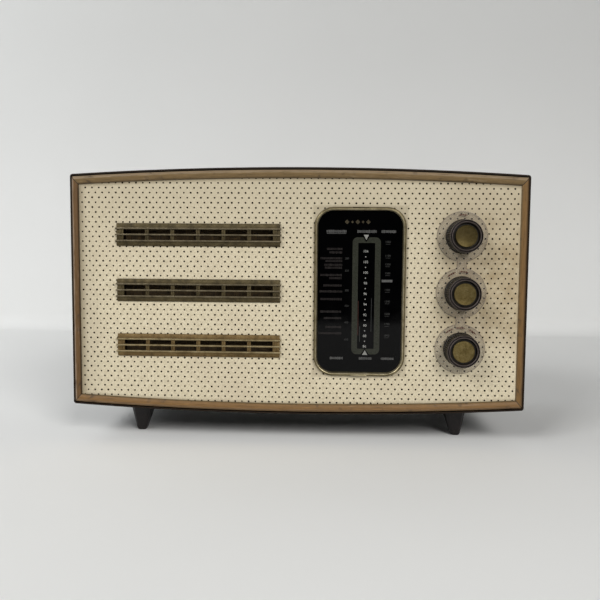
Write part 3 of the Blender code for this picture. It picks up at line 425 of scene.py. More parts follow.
def painted_border_shade(f, x, z):
    """Painted shade on the panel: along the moulding, most at the left, and round the dial."""
    inner = LINING + RAIL
    bow = f.maths("MULTIPLY", f.maths("MULTIPLY", x, x), BOW / HALF_WIDTH ** 2)
    top, bottom = WRAP_HIGH.z - inner, WRAP_LOW.z + inner
    above = f.maths("MULTIPLY", f.span(f.maths("ADD", z, bow), top - 3.5 * MM, top), 0.55)
    below = f.maths("MULTIPLY", f.span(f.maths("SUBTRACT", z, bow), bottom + 2.5 * MM, bottom), 0.35)
    side = SIDE_LINING + STILE - HALF_WIDTH
    left = f.maths("MULTIPLY", f.span(x, side + 6.5 * MM, side), 0.55)
    moulding_shade = f.maths("MAXIMUM", f.maths("MAXIMUM", above, below), left)
    off_x = f.maths("MAXIMUM", f.maths("SUBTRACT", x, DIAL_HIGH.x), f.maths("SUBTRACT", DIAL_LOW.x, x))
    off_z = f.maths("MAXIMUM", f.maths("SUBTRACT", z, DIAL_HIGH.z), f.maths("SUBTRACT", DIAL_LOW.z, z))
    near_dial = f.maths("MULTIPLY", f.span(f.maths("MAXIMUM", off_x, off_z), 2.4 * MM, 0), 0.28)
    return f.maths("MAXIMUM", moulding_shade, near_dial)


def punched_hole_shade():
    """The inside of a punched hole: painted shade, near-black going to dark brown."""
    f = Finish("punched_hole_shade", roughness=0.95, Specular_IOR_Level=0.02)
    f.set("Base Color", f.ramp(f.noise(9 * MM, 4.0), (0.35, (0.005, 0.003, 0.001)), (0.7, (0.055, 0.034, 0.012))))
    return f.material


GILT = ((0.13, 0.105, 0.055), (0.29, 0.24, 0.14), (0.42, 0.36, 0.23))


def brass(name="brass", tones=GILT, roughness=(0.3, 0.5), metallic=0.85):
    """Tarnished gilt: the tones go from brown tarnish to the metal that is left."""
    f = Finish(name, metallic=metallic)
    tarnish = f.noise(6 * MM, 5.0, roughness=0.7)
    f.set("Roughness", f.ramp(tarnish, (0.3, roughness[1]), (0.7, roughness[0])))
    colour = f.ramp(tarnish, (0.3, tones[0]), (0.52, tones[1]), (0.75, tones[2]))
    spots = f.ramp(f.noise(1.1 * MM, 3.0, roughness=0.8), (0.32, 0.7), (0.44, 0.0))
    f.set("Base Color", f.mix(spots, colour, tuple(c * 0.5 for c in tones[0])))
    f.bump(f.noise(0.5 * MM, 3.0), 0.02 * MM, 0.4)
    return f.material


def spun_brass(name, share):
    """A knob's disc: fine turned rings and dark freckles. share dims the metal: painted shade, most on the tuning disc.
    """
    f = Finish(name, metallic=1.0)
    wave = f.tree.nodes.new("ShaderNodeTexWave")
    wave.wave_type = "RINGS"
    wave.rings_direction = "Y"
    wave.inputs["Scale"].default_value = 900
    wave.inputs["Distortion"].default_value = 0.6
    f.tree.links.new(f.place, wave.inputs["Vector"])
    age = f.noise(4 * MM, 5.0, f.stretched((1, 1, 1), (share, 0, 0)), roughness=0.75)
    low, mid, high = (0.082, 0.058, 0.019), (0.185, 0.14, 0.055), (0.30, 0.24, 0.115)
    tones = [tuple(c * share for c in tone) for tone in (low, mid, high)]
    colour = f.ramp(age, (0.3, tones[0]), (0.55, tones[1]), (0.8, tones[2]))
    freckles = f.ramp(f.noise(0.8 * MM, 2.0), (0.30, 0.85), (0.38, 0.0))
    f.set("Base Color", f.mix(freckles, colour, (0.05, 0.04, 0.02)))
    f.set("Roughness", f.ramp(age, (0.3, 0.42), (0.8, 0.3)))
    f.bump(wave.outputs["Fac"], 0.012 * MM, 0.4)
    return f.material


def black_moulding():
    """Black phenolic, dull with handling, with patches of dust."""
    f = Finish("black_moulding", Specular_IOR_Level=0.35)
    dust = f.noise(3 * MM, 5.0, roughness=0.7)
    f.set("Base Color", f.ramp(dust, (0.4, (0.004, 0.003, 0.002)), (0.8, (0.026, 0.019, 0.012))))
    f.set("Roughness", f.ramp(dust, (0.35, 0.30), (0.75, 0.5)))
    f.bump(f.noise(0.4 * MM, 2.0), 0.01 * MM, 0.4)
    return f.material


def knob_bead_highlight():
    """Painted highlight on the bead round a knob's front: a lighter grey that stands for the gloss on the black
    moulding.
    """
    f = Finish("knob_bead_highlight", metallic=0.15, Specular_IOR_Level=0.35)
    sheen_mottle = f.noise(2.5 * MM, 4.0)
    f.set("Base Color", f.ramp(sheen_mottle, (0.3, (0.062, 0.048, 0.045)), (0.7, (0.135, 0.112, 0.104))))
    f.set("Roughness", f.ramp(sheen_mottle, (0.3, 0.5), (0.7, 0.38)))
    return f.material


def dial_black():
    """Back-painted glass: deep black with a clear gloss over it."""
    f = Finish("dial_black", roughness=0.09, Specular_IOR_Level=0.13)
    f.set("Base Color", f.ramp(f.noise(25 * MM), (0.3, (0.0004, 0.0004, 0.0005)), (0.8, (0.0010, 0.0010, 0.0011))))
    f.set("Roughness", f.ramp(f.noise(8 * MM, 5.0), (0.4, 0.05), (0.8, 0.13)))
    return f.material


def dial_ink(name, colour):
    """Screened ink that has thinned in places."""
    f = Finish(name, Specular_IOR_Level=0.13)
    thin = f.noise(0.9 * MM, 4.0, roughness=0.8)
    f.set("Base Color", f.ramp(thin, (0.3, tuple(c * 0.45 for c in colour)), (0.65, colour)))
    f.set("Roughness", f.ramp(thin, (0.3, 0.12), (0.8, 0.2)))
    return f.material


def clear_plastic(name, alpha, tone):
    """Scuffed clear moulding, faintly smoky."""
    f = Finish(name, Alpha=alpha, Specular_IOR_Level=0.5)
    haze = f.noise(4 * MM, 5.0, roughness=0.7)
    f.set("Base Color", f.ramp(haze, (0.3, tuple(c * 0.75 for c in tone)), (0.75, tone)))
    f.set("Roughness", f.ramp(haze, (0.3, 0.2), (0.8, 0.42)))
    f.bump(f.noise(1.5 * MM), 0.02 * MM, 0.3)
    return f.material


def lacquered_foot():
    """Near-black lacquer rubbed brown."""
    f = Finish("lacquered_foot", Specular_IOR_Level=0.3)
    run = f.stretched((1, 1, 0.12))
    grain = f.noise(1.2 * MM, 4.0, run, roughness=0.7)
    f.set("Base Color", f.ramp(grain, (0.35, (0.006, 0.005, 0.005)), (0.62, (0.014, 0.010, 0.0095)),
                               (0.85, (0.075, 0.06, 0.05))))
    f.set("Roughness", f.ramp(grain, (0.3, 0.34), (0.8, 0.55)))
    f.bump(grain, 0.05 * MM, 0.5)
    return f.material


def brown_cloth():
    """Loudspeaker cloth: coarse crossed threads."""
    f = Finish("brown_cloth", roughness=0.9, Sheen_Weight=0.25)
    weft = f.noise(0.7 * MM, 2.0, f.stretched((0.12, 1, 1)))
    warp = f.noise(0.7 * MM, 2.0, f.stretched((1, 1, 0.12)))
    weave = f.maths("MAXIMUM", weft, warp)
    f.set("Base Color", f.ramp(weave, (0.4, (0.014, 0.008, 0.002)), (0.75, (0.095, 0.055, 0.014))))
    f.bump(weave, 0.2 * MM, 0.8)
    return f.material


def plywood():
    """Birch plywood with its leaves showing on the edges."""
    f = Finish("plywood", Specular_IOR_Level=0.25)
    grain = f.noise(2.5 * MM, 4.0, f.stretched((0.08, 1, 1)), distortion=0.5)
    f.set("Base Color", f.ramp(grain, (0.3, (0.26, 0.155, 0.075)), (0.55, (0.40, 0.265, 0.14)),
                               (0.8, (0.50, 0.36, 0.205))))
    f.set("Roughness", f.ramp(grain, (0.3, 0.75), (0.8, 0.6)))
    f.bump(grain, 0.1 * MM, 0.5)
    return f.material


def baffle_painted_shade():
    """The baffle's face: painted shade, near-black so that the perforation reads dark."""
    f = Finish("baffle_painted_shade", roughness=0.9, Specular_IOR_Level=0.05)
    f.set("Base Color", f.ramp(f.noise(5 * MM, 4.0), (0.35, (0.004, 0.0025, 0.001)), (0.7, (0.022, 0.013, 0.006))))
    f.bump(f.noise(0.8 * MM), 0.05 * MM, 0.5)
    return f.material


def fibreboard():
    f = Finish("fibreboard", Specular_IOR_Level=0.2)
    fibres = f.noise(1.6 * MM, 6.0, f.stretched((0.5, 1, 1)), distortion=1.2, roughness=0.75)
    f.set("Base Color", f.ramp(fibres, (0.3, (0.085, 0.045, 0.022)), (0.55, (0.155, 0.088, 0.045)),
                               (0.8, (0.24, 0.15, 0.085))))
    f.set("Roughness", f.ramp(fibres, (0.3, 0.65), (0.8, 0.85)))
    f.bump(fibres, 0.12 * MM, 0.6)
    return f.material


def rubber():
    f = Finish("rubber", Specular_IOR_Level=0.3)
    bloom = f.noise(2 * MM, 4.0)
    f.set("Base Color", f.ramp(bloom, (0.3, (0.012, 0.012, 0.012)), (0.8, (0.05, 0.048, 0.045))))
    f.set("Roughness", f.ramp(bloom, (0.3, 0.6), (0.8, 0.85)))
    return f.material


def plated_steel():
    f = Finish("plated_steel", metallic=1.0)
    age = f.noise(7 * MM, 5.0, roughness=0.7)
    f.set("Base Color", f.ramp(age, (0.3, (0.30, 0.27, 0.20)), (0.6, (0.52, 0.50, 0.44)), (0.85, (0.62, 0.61, 0.57))))
    f.set("Roughness", f.ramp(age, (0.3, 0.55), (0.8, 0.32)))
    f.bump(f.noise(0.6 * MM, 3.0), 0.03 * MM, 0.4)
    return f.material


def grey_enamel():
    f = Finish("grey_enamel", Specular_IOR_Level=0.3)
    age = f.noise(8 * MM, 4.0)
    f.set("Base Color", f.ramp(age, (0.3, (0.085, 0.09, 0.075)), (0.8, (0.14, 0.145, 0.12))))
    f.set("Roughness", f.ramp(age, (0.3, 0.45), (0.8, 0.65)))
    return f.material


def valve_glass():
    f = Finish("valve_glass", Transmission_Weight=0.85, IOR=1.47)
    getter = f.span(f.axis("Z"), 0.06, 0.12)
    f.set("Base Color", f.mix(getter, (0.42, 0.46, 0.46), (0.75, 0.8, 0.8)))
    f.set("Roughness", f.ramp(f.noise(3 * MM), (0.4, 0.04), (0.8, 0.12)))
    return f.material


def plain_mottle(name, dark, light, size, rough, metallic=0.0):
    """A small inner piece's finish: two tones of one colour and a fine skin."""
    f = Finish(name, metallic=metallic, Specular_IOR_Level=0.35)
    cloud = f.noise(size, 4.0, roughness=0.65)
    f.set("Base Color", f.ramp(cloud, (0.3, dark), (0.75, light)))
    f.set("Roughness", f.ramp(cloud, (0.3, rough[0]), (0.8, rough[1])))
    f.bump(f.noise(size / 4), 0.03 * MM, 0.4)
    return f.material


def stage_paint(name, low_tone, shaded_high_tone, low, high):
    """Flat paint that goes from one tone to another with height: painted shade, darker up the wall."""
    f = Finish(name, roughness=0.7, Specular_IOR_Level=0.2)
    tone = f.mix(f.span(f.axis("Z"), low, high), low_tone, shaded_high_tone)
    cloud = f.ramp(f.noise(0.4, 3.0), (0.3, 0.965), (0.8, 1.0))
    f.set("Base Color", f.mix(1.0, tone, cloud, "MULTIPLY"))
    return f.material


CARRIED = {
    "plywood": plywood, "brown_cloth": brown_cloth, "fibreboard": fibreboard, "rubber": rubber,
    "steel": plated_steel, "grey_enamel": grey_enamel, "valve_glass": valve_glass,
    "black_plastic": black_moulding, "brass": brass, "dark_foot": lacquered_foot,
    "speaker_paper": lambda: plain_mottle("speaker_paper", (0.018, 0.016, 0.014), (0.045, 0.04, 0.034),
                                          3 * MM, (0.8, 0.95)),
    "cord_fibre": lambda: plain_mottle("cord_fibre", (0.38, 0.33, 0.22), (0.6, 0.55, 0.42),
                                       0.6 * MM, (0.7, 0.9)),
    "paxolin": lambda: plain_mottle("paxolin", (0.13, 0.06, 0.022), (0.24, 0.12, 0.05), 4 * MM, (0.4, 0.6)),
    "drum_plastic": lambda: plain_mottle("drum_plastic", (0.42, 0.37, 0.28), (0.55, 0.5, 0.4),
                                         5 * MM, (0.4, 0.6)),
    "pointer_white": lambda: plain_mottle("pointer_white", (0.6, 0.57, 0.48), (0.8, 0.78, 0.7),
                                          2 * MM, (0.3, 0.5)),
    "ferrite": lambda: plain_mottle("ferrite", (0.035, 0.035, 0.04), (0.075, 0.075, 0.08), 2 * MM, (0.3, 0.5)),
}


def dress_cad_nodes():
    """Gives each CAD node that stays the material of its slot in the record."""
    made = {}
    for row in frame["record"]["subparts"]:
        slot, node = row["material_slot"], frame["nodes"][row["node"]]
        if slot in CARRIED:
            made[slot] = made.get(slot) or CARRIED[slot]()
            node.data.materials.clear()
            node.data.materials.append(made[slot])
    # The baffle takes painted shade in place of its plywood.
    baffle = frame["nodes"]["front_baffle"]
    baffle.data.materials.clear()
    baffle.data.materials.append(baffle_painted_shade())
    soften("front_left_foot", "front_right_foot", "rear_left_foot", "rear_right_foot", radius=0.7 * MM)
    soften("chassis", "mains_transformer", "output_transformer", "aerial_socket", radius=0.3 * MM)


def soften(*names, radius):
    """Rounds the edges of CAD nodes with modifiers."""
    for name in names:
        node = frame["nodes"][name]
        node.modifiers.new("weld", "WELD").merge_threshold = 0.001 * MM
        bevel = node.modifiers.new("bevel", "BEVEL")
        bevel.width = radius
        bevel.segments = 3
        bevel.limit_method = "ANGLE"
        bevel.angle_limit = math.radians(25)
        bevel.harden_normals = True


# Cabinet --------------------------------------------------------------------------------------

def leathercloth_case():
    """The band of leathercloth, its front and back edges turned over the plywood."""
    bm = bmesh.new()
    front, back = WRAP_LOW.y, WRAP_HIGH.y
    turn = 0.55 * MM
    section = [(1.25 * MM, back), (turn, back), (0.15 * MM, back - 0.15 * MM), (0, back - turn),
               (0, front + turn), (0.15 * MM, front + 0.15 * MM), (turn, front), (1.25 * MM, front)]
    rings = [[(x, y, z) for x, z in cabinet_outline(inset, 2.2 * MM - inset)] for inset, y in section]
    skin(bm, rings, wrap=True)
    case = piece("leathercloth_case", bm, [leathercloth()], replaces=["leathercloth_wrap"])


def moulding_point(side, share, across_x, across_z, y):
    """A point of the moulding: share goes along it, across_x and across_z from the outer edge."""
    reach = HALF_WIDTH - SIDE_LINING - across_x
    if side in ("top", "bottom"):
        x = (2 * share - 1) * reach
        z = top_z(x) - LINING - across_z if side == "top" else bottom_z(x) + LINING + across_z
        return (x, y, z)
    x = reach if side == "right" else -reach
    low, high = bottom_z(x) + LINING + across_z, top_z(x) - LINING - across_z
    return (x, y, low + (high - low) * share)


# Painted light and shade: each side's (inner, outer, lip) tones follow how light falls, with a lighter outer and a
# darker lip on the top, bottom and left, and a darker outer on the right.
MOULDING_LIGHT_AND_SHADE_TONES = {
    "top": ((0.165, 0.107, 0.044), (0.235, 0.172, 0.105), (0.125, 0.085, 0.042)),
    "bottom": ((0.183, 0.099, 0.033), (0.20, 0.125, 0.062), (0.11, 0.075, 0.034)),
    "left": ((0.122, 0.064, 0.021), (0.26, 0.19, 0.13), (0.045, 0.026, 0.009)),
    "right": ((0.168, 0.092, 0.029), (0.115, 0.066, 0.026), (0.17, 0.115, 0.055))}


def moulding():
    """Four mitred lengths: a narrow outer flat, a crown, and a rounded fall to the panel."""
    edge_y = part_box("frame_top_rail")[0].y + 1.5 * MM
    crown_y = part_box("frame_top_rail")[0].y
    section = [(0.0, edge_y + 4 * MM), (0.0, edge_y + 0.3 * MM), (0.05, edge_y), (0.24, crown_y + 0.15 * MM),
               (0.30, crown_y), (0.42, crown_y), (0.55, crown_y + 0.12 * MM), (0.70, crown_y + 0.4 * MM),
               (0.83, crown_y + 0.8 * MM), (0.94, crown_y + 1.35 * MM), (1.0, crown_y + 2.0 * MM),
               (1.0, SEAT_Y + 0.2 * MM), (0.5, SEAT_Y + 4 * MM)]
    # The tones carry painted light and shade.
    for side, (inner, outer, lip) in MOULDING_LIGHT_AND_SHADE_TONES.items():
        rail = side in ("top", "bottom")
        length = 2 * (HALF_WIDTH - SIDE_LINING) if rail else CORNER_HIGH - CORNER_LOW
        bm = bmesh.new()
        steps = 48 if rail else 12
        rings = [[moulding_point(side, i / steps, s * STILE, s * RAIL, y) for s, y in section]
                 for i in range(steps + 1)]
        rows = skin(bm, rings)
        for row in (rows[0], rows[-1]):
            bm.faces.new(row)
        place = {vert: (length * i / steps, s) for i, row in enumerate(rows) for vert, (s, y) in zip(row, section)}
        layer = bm.loops.layers.uv.new("grain")
        for face in bm.faces:
            for loop in face.loops:
                loop[layer].uv = place[loop.vert]
        wood = moulding_wood(f"moulding_{side}_wood", length, inner, outer, lip)
        kind = "rail" if rail else "stile"
        piece(f"moulding_{side}", bm, [wood], replaces=[f"frame_{side}_{kind}"], sharp=40)


# Front panel ----------------------------------------------------------------------------------

def perforation_tool():
    """One prism for each hole of the staggered pattern."""
    bm = bmesh.new()
    front, back = COVERING_Y - MM, COVERING_HIGH.y + MM
    rows = math.ceil((HOLE_START[1] - COVERING_LOW.z) / HOLE_PITCH_Z) + 1
    columns = math.ceil((COVERING_HIGH.x - COVERING_LOW.x) / HOLE_PITCH_X) + 2
    spread = random.Random(7)
    for row in range(-4, rows):
        z = HOLE_START[1] - row * HOLE_PITCH_Z
        shift = HOLE_PITCH_X / 2 if row % 2 else 0
        for column in range(-2, columns):
            x = HOLE_START[0] + column * HOLE_PITCH_X - shift
            inside = bottom_z(x) + 8 * MM < z < top_z(x) - 8 * MM and abs(x) < HALF_WIDTH - 7.6 * MM
            if inside and not over_opening(x, z):
                radius = HOLE_RADIUS * spread.uniform(0.88, 1.1)
                ring = arc((x, z), radius, 0, 315, 7)
                lean = [(px, front, pz) for px, pz in ring], [(px, back, pz) for px, pz in ring]
                near, far = skin(bm, lean, slots=[1])
                bm.faces.new(near)
                bm.faces.new(reversed(far))
    return tool_object("perforation", bm)


def over_opening(x, z):
    """True where a hole would cross one of the panel's large openings."""
    across = max(0, abs(x - DIAL.x) - GLASS_WIDTH / 2 + GLASS_RADIUS)
    up = max(0, abs(z - DIAL.z) - GLASS_HEIGHT / 2 + GLASS_RADIUS)
    if math.hypot(across, up) < GLASS_RADIUS + 1.2 * MM:
        return True
    if abs(x - LOUVRE_X) < 62 * MM and min(abs(z - c) for c in LOUVRE_Z.values()) < 8 * MM:
        return True
    return abs(x - KNOB_X) < 6 * MM and min(abs(z - c) for c in KNOB_Z.values()) < 6 * MM


def openings_tool():
    bm = bmesh.new()
    front, back = COVERING_Y - MM, COVERING_HIGH.y + MM
    width, height = GLASS_WIDTH + 0.6 * MM, GLASS_HEIGHT + 0.6 * MM
    slab(bm, rounded_rectangle(width, height, GLASS_RADIUS, (DIAL.x, DIAL.z)), front, back)
    for z in LOUVRE_Z.values():
        slab(bm, rounded_rectangle(121 * MM, 13 * MM, MM, (LOUVRE_X, z), 2), front, back)
    for z in KNOB_Z.values():
        slab(bm, arc((KNOB_X, z), 4.2 * MM, 0, 345, 23), front, back)
    return tool_object("openings", bm)


def perforated_panel():
    """The cream covering with every punched hole as real geometry."""
    bm = bmesh.new()
    outline = cabinet_outline(4.6 * MM, 1.0 * MM, corner_steps=3)
    slab(bm, outline, COVERING_Y, COVERING_HIGH.y)
    panel = piece("perforated_panel", bm, [cream_vinyl(), punched_hole_shade()], replaces=["front_covering"])
    cut(panel, openings_tool())
    cut(panel, perforation_tool())


OLIVE = ((0.036, 0.028, 0.013), (0.082, 0.062, 0.027), (0.125, 0.098, 0.048))
OLIVE_RAIL = ((0.075, 0.06, 0.036), (0.15, 0.122, 0.073), (0.23, 0.192, 0.125))
GOLDEN = ((0.08, 0.052, 0.018), (0.155, 0.10, 0.038), (0.22, 0.155, 0.063))
GOLDEN_RAIL = ((0.155, 0.112, 0.05), (0.28, 0.22, 0.115), (0.38, 0.31, 0.18))


def louvre_flanges(bm, low, high, centre_z, half_w):
    """The folded strips above and below the windows."""
    for sign in (-1, 1):
        outer, inner = sign * (high.z - low.z) / 2, sign * 5.5 * MM
        section = [(outer, SEAT_Y), (outer, SEAT_Y - 0.4 * MM), (outer - sign * 0.4 * MM, SEAT_Y - 0.75 * MM),
                   (sign * 6.6 * MM, SEAT_Y - 1.25 * MM), (inner, SEAT_Y - 1.35 * MM), (inner, SEAT_Y)]
        rows = skin(bm, [[(LOUVRE_X + x, y, centre_z + z) for z, y in section] for x in (-half_w, half_w)])
        for ends in rows:
            bm.faces.new(ends)


def louvre_dividers(bm, centre_z):
    """Seven doubled uprights between and beside the six windows."""
    span, gap = 117.5 * MM, 2.9 * MM
    for i in range(7):
        middle = LOUVRE_X - span / 2 - gap / 2 + i * (span + gap) / 6
        for side in (-0.95 * MM, 0.95 * MM):
            block(bm, (middle + side - 0.5 * MM, SEAT_Y - 1.75 * MM, centre_z - 5.4 * MM),
                  (middle + side + 0.5 * MM, SEAT_Y - 0.2 * MM, centre_z + 5.4 * MM), 0.2 * MM)
        block(bm, (middle - 1.2 * MM, SEAT_Y - 1.35 * MM, centre_z - 5.4 * MM),
              (middle + 1.2 * MM, SEAT_Y - 0.2 * MM, centre_z + 5.4 * MM))


def louvre_grilles():
    """Each grille: sloping flanges, three raised rails, dividers and a plate at each end."""
    tones = {"top": (OLIVE, OLIVE_RAIL), "middle": (OLIVE, OLIVE_RAIL), "bottom": (GOLDEN, GOLDEN_RAIL)}
    for row, (plate_tones, rail_tones) in tones.items():
        low, high = LOUVRES[row]
        centre_z = LOUVRE_Z[row]
        half_w = (high.x - low.x) / 2 - 0.9 * MM
        bm = bmesh.new()
        louvre_flanges(bm, low, high, centre_z, half_w)
        louvre_dividers(bm, centre_z)
        for sign in (-1, 1):
            edge, inner = LOUVRE_X + sign * half_w, LOUVRE_X + sign * 61.15 * MM
            block(bm, (min(edge, inner), SEAT_Y - 1.2 * MM, centre_z - 5.4 * MM),
                  (max(edge, inner), SEAT_Y, centre_z + 5.4 * MM), 0.2 * MM)
        for z in (-4.8 * MM, 0, 4.8 * MM):
            block(bm, (low.x, SEAT_Y - 2.4 * MM, centre_z + z - 0.62 * MM),
                  (high.x, SEAT_Y - 0.3 * MM, centre_z + z + 0.62 * MM), 0.28 * MM, slot=1, segments=3)
        metals = [brass(f"louvre_{row}_plate", plate_tones, (0.5, 0.65), 0.7),
                  brass(f"louvre_{row}_rail", rail_tones, (0.38, 0.5), 0.7)]
        piece(f"louvre_{row}", bm, metals, replaces=[f"louvre_grille_{row}"])


# Dial -----------------------------------------------------------------------------------------

def dial_bezel():
    """Gilt channel ring in three tones of one gilt: painted shade on the dark outer lip, a dull band, and a painted
    highlight on the bright rounded inner edge.
    """
    bm = bmesh.new()
    width, height = DIAL_HIGH.x - DIAL_LOW.x, DIAL_HIGH.z - DIAL_LOW.z
    depth = DIAL_HIGH.y - DIAL_LOW.y
    section = [(0, 0), (0, 0.35), (0.2, 0.62), (0.6, 0.85), (1.05, 0.97), (1.45, 1.0), (1.85, 0.95), (2.2, 0.8),
               (2.5, 0.55), (2.75, 0.25), (2.85, 0)]
    slots = [1, 1, 0, 0, 0, 2, 2, 2, 2, 2, 0]
    rings = []
    for inset, lift in section:
        inset *= MM
        outline = rounded_rectangle(width - 2 * inset, height - 2 * inset, BEZEL_RADIUS - inset, (DIAL.x, DIAL.z))
        rings.append([(x, SEAT_Y - lift * depth, z) for x, z in outline])
    skin(bm, rings, wrap=True, slots=slots)
    # Painted light and shade: the lip tones are painted shade, the edge tones a painted highlight.
    lip = ((0.03, 0.022, 0.01), (0.06, 0.047, 0.024), (0.10, 0.08, 0.045))
    band = ((0.10, 0.08, 0.04), (0.20, 0.165, 0.09), (0.30, 0.255, 0.155))
    edge = ((0.23, 0.19, 0.11), (0.38, 0.325, 0.20), (0.55, 0.48, 0.33))
    metals = [brass("bezel_band", band, (0.35, 0.5)), brass("bezel_lip_shade", lip, (0.4, 0.6)),
              brass("bezel_edge_highlight", edge, (0.28, 0.42))]
    piece("bezel", bm, metals, replaces=["dial_bezel"], sharp=50)
    # The top joint reuses the lip's painted-shade tones, the bottom joint the edge's painted-highlight tones.
    for name, z, drop, tones in (("bezel_joint_top", DIAL_HIGH.z, -1, lip), ("bezel_joint_bottom", DIAL_LOW.z, 1, edge)):
        bm = bmesh.new()
        low, high = sorted((z + drop * 0.02 * MM, z + drop * 1.15 * MM))
        block(bm, (DIAL.x - 6.2 * MM, DIAL_LOW.y - 0.05 * MM, low), (DIAL.x + 6.2 * MM, SEAT_Y, high),
              0.35 * MM, segments=3)
        piece(name, bm, [brass(name + "_brass", tones, (0.3, 0.5))])


def stadium(width, height, radius, centre):
    return rounded_rectangle(width, height, radius, centre, 6)


def figure(bm, text, size, x, z, y, align="CENTER"):
    """Adds a number in Blender's own letterforms, standing in XZ."""
    curve = bpy.data.curves.new("figure", "FONT")
    curve.body = text
    curve.size = size
    curve.align_x = align
    curve.align_y = "CENTER"
    item = bpy.data.objects.new("figure", curve)
    bpy.context.scene.collection.objects.link(item)
    mesh = bpy.data.meshes.new_from_object(item.evaluated_get(bpy.context.evaluated_depsgraph_get()))
    mesh.transform(Matrix.Translation((x, y, z)) @ Matrix.Rotation(math.radians(90), 4, "X"))
    bm.from_mesh(mesh)
    bpy.data.objects.remove(item)
    bpy.data.meshes.remove(mesh)


def mark(bm, x, z, width, height, y, slot=0):
    """A flat printed bar."""
    corners = [(x - width / 2, y, z - height / 2), (x + width / 2, y, z - height / 2),
               (x + width / 2, y, z + height / 2), (x - width / 2, y, z + height / 2)]
    face = bm.faces.new([bm.verts.new(corner) for corner in corners])
    face.material_index = slot


def word_bars(bm, left, right, z, height, y, spread, slot=0):
    """A row of plain bars of uneven width, standing for a line of small print."""
    x = left
    while x < right - 0.4 * MM:
        width = spread.uniform(0.35, 0.8) * MM
        mark(bm, x + width / 2, z, width, height * spread.uniform(0.75, 1.0), y, slot)
        x += width + spread.uniform(0.25, 0.4) * MM


def dial_plate():
    """The black glass."""
    bm = bmesh.new()
    outline = rounded_rectangle(GLASS_WIDTH, GLASS_HEIGHT, GLASS_RADIUS, (DIAL.x, DIAL.z))
    slab(bm, outline, GLASS_LOW.y, GLASS_HIGH.y, rounding=0.3 * MM)
    piece("dial_plate", bm, [dial_black()], replaces=["dial_glass"])


LOOP_CENTRE = (54.2 * MM, 115.75 * MM)
LOOP_WIDTH, LOOP_HEIGHT, LOOP_BAND = 21.8 * MM, 91.4 * MM, 4.4 * MM


def dial_loop():
    """The grey ring round the pointer's window, open where the two arrows stand."""
    y = GLASS_LOW.y - 0.03 * MM
    bm = bmesh.new()
    x, z = LOOP_CENTRE
    outer = stadium(LOOP_WIDTH, LOOP_HEIGHT, 3.9 * MM, (x, z))
    inner = stadium(LOOP_WIDTH - 2 * LOOP_BAND, LOOP_HEIGHT - 2 * LOOP_BAND, 0.6 * MM, (x, z))
    skin(bm, [[(px, y, pz) for px, pz in outer], [(px, y, pz) for px, pz in inner]])
    grey = dial_ink("loop_grey", (0.036, 0.038, 0.029))
    piece("dial_loop", bm, [grey])
    bm = bmesh.new()
    for sign, lift in ((1, 1.5 * MM), (-1, 0)):
        tip = z + sign * (LOOP_HEIGHT / 2 - LOOP_BAND + 1.2 * MM + lift * 0.7)
        base = z + sign * (LOOP_HEIGHT / 2 + 0.4 * MM + lift)
        for grow, level, slot in ((1.5 * MM, 0.03 * MM, 1), (0, 0.06 * MM, 0)):
            points = [(x - 2.0 * MM - grow, base), (x + 2.0 * MM + grow, base), (x, tip - sign * grow)]
            verts = [bm.verts.new((px - 0.4 * MM, y - level, pz)) for px, pz in points]
            bm.faces.new(verts).material_index = slot
    inks = [dial_ink("arrow_white", (0.30, 0.30, 0.28)), dial_black()]
    piece("dial_arrows", bm, inks)
    bm = bmesh.new()
    for offset, top, bottom, slot in ((-6.0, 112.0, 85.0, 0), (4.2, 114.0, 88.0, 1), (-4.6, 92.0, 80.0, 1)):
        mark(bm, x + offset * MM, (top + bottom) / 2 * MM, 0.35 * MM, (top - bottom) * MM, y, slot)
    inks = [dial_ink("line_red", (0.075, 0.032, 0.026)), dial_ink("line_grey", (0.05, 0.052, 0.05))]
    piece("dial_lines", bm, inks)


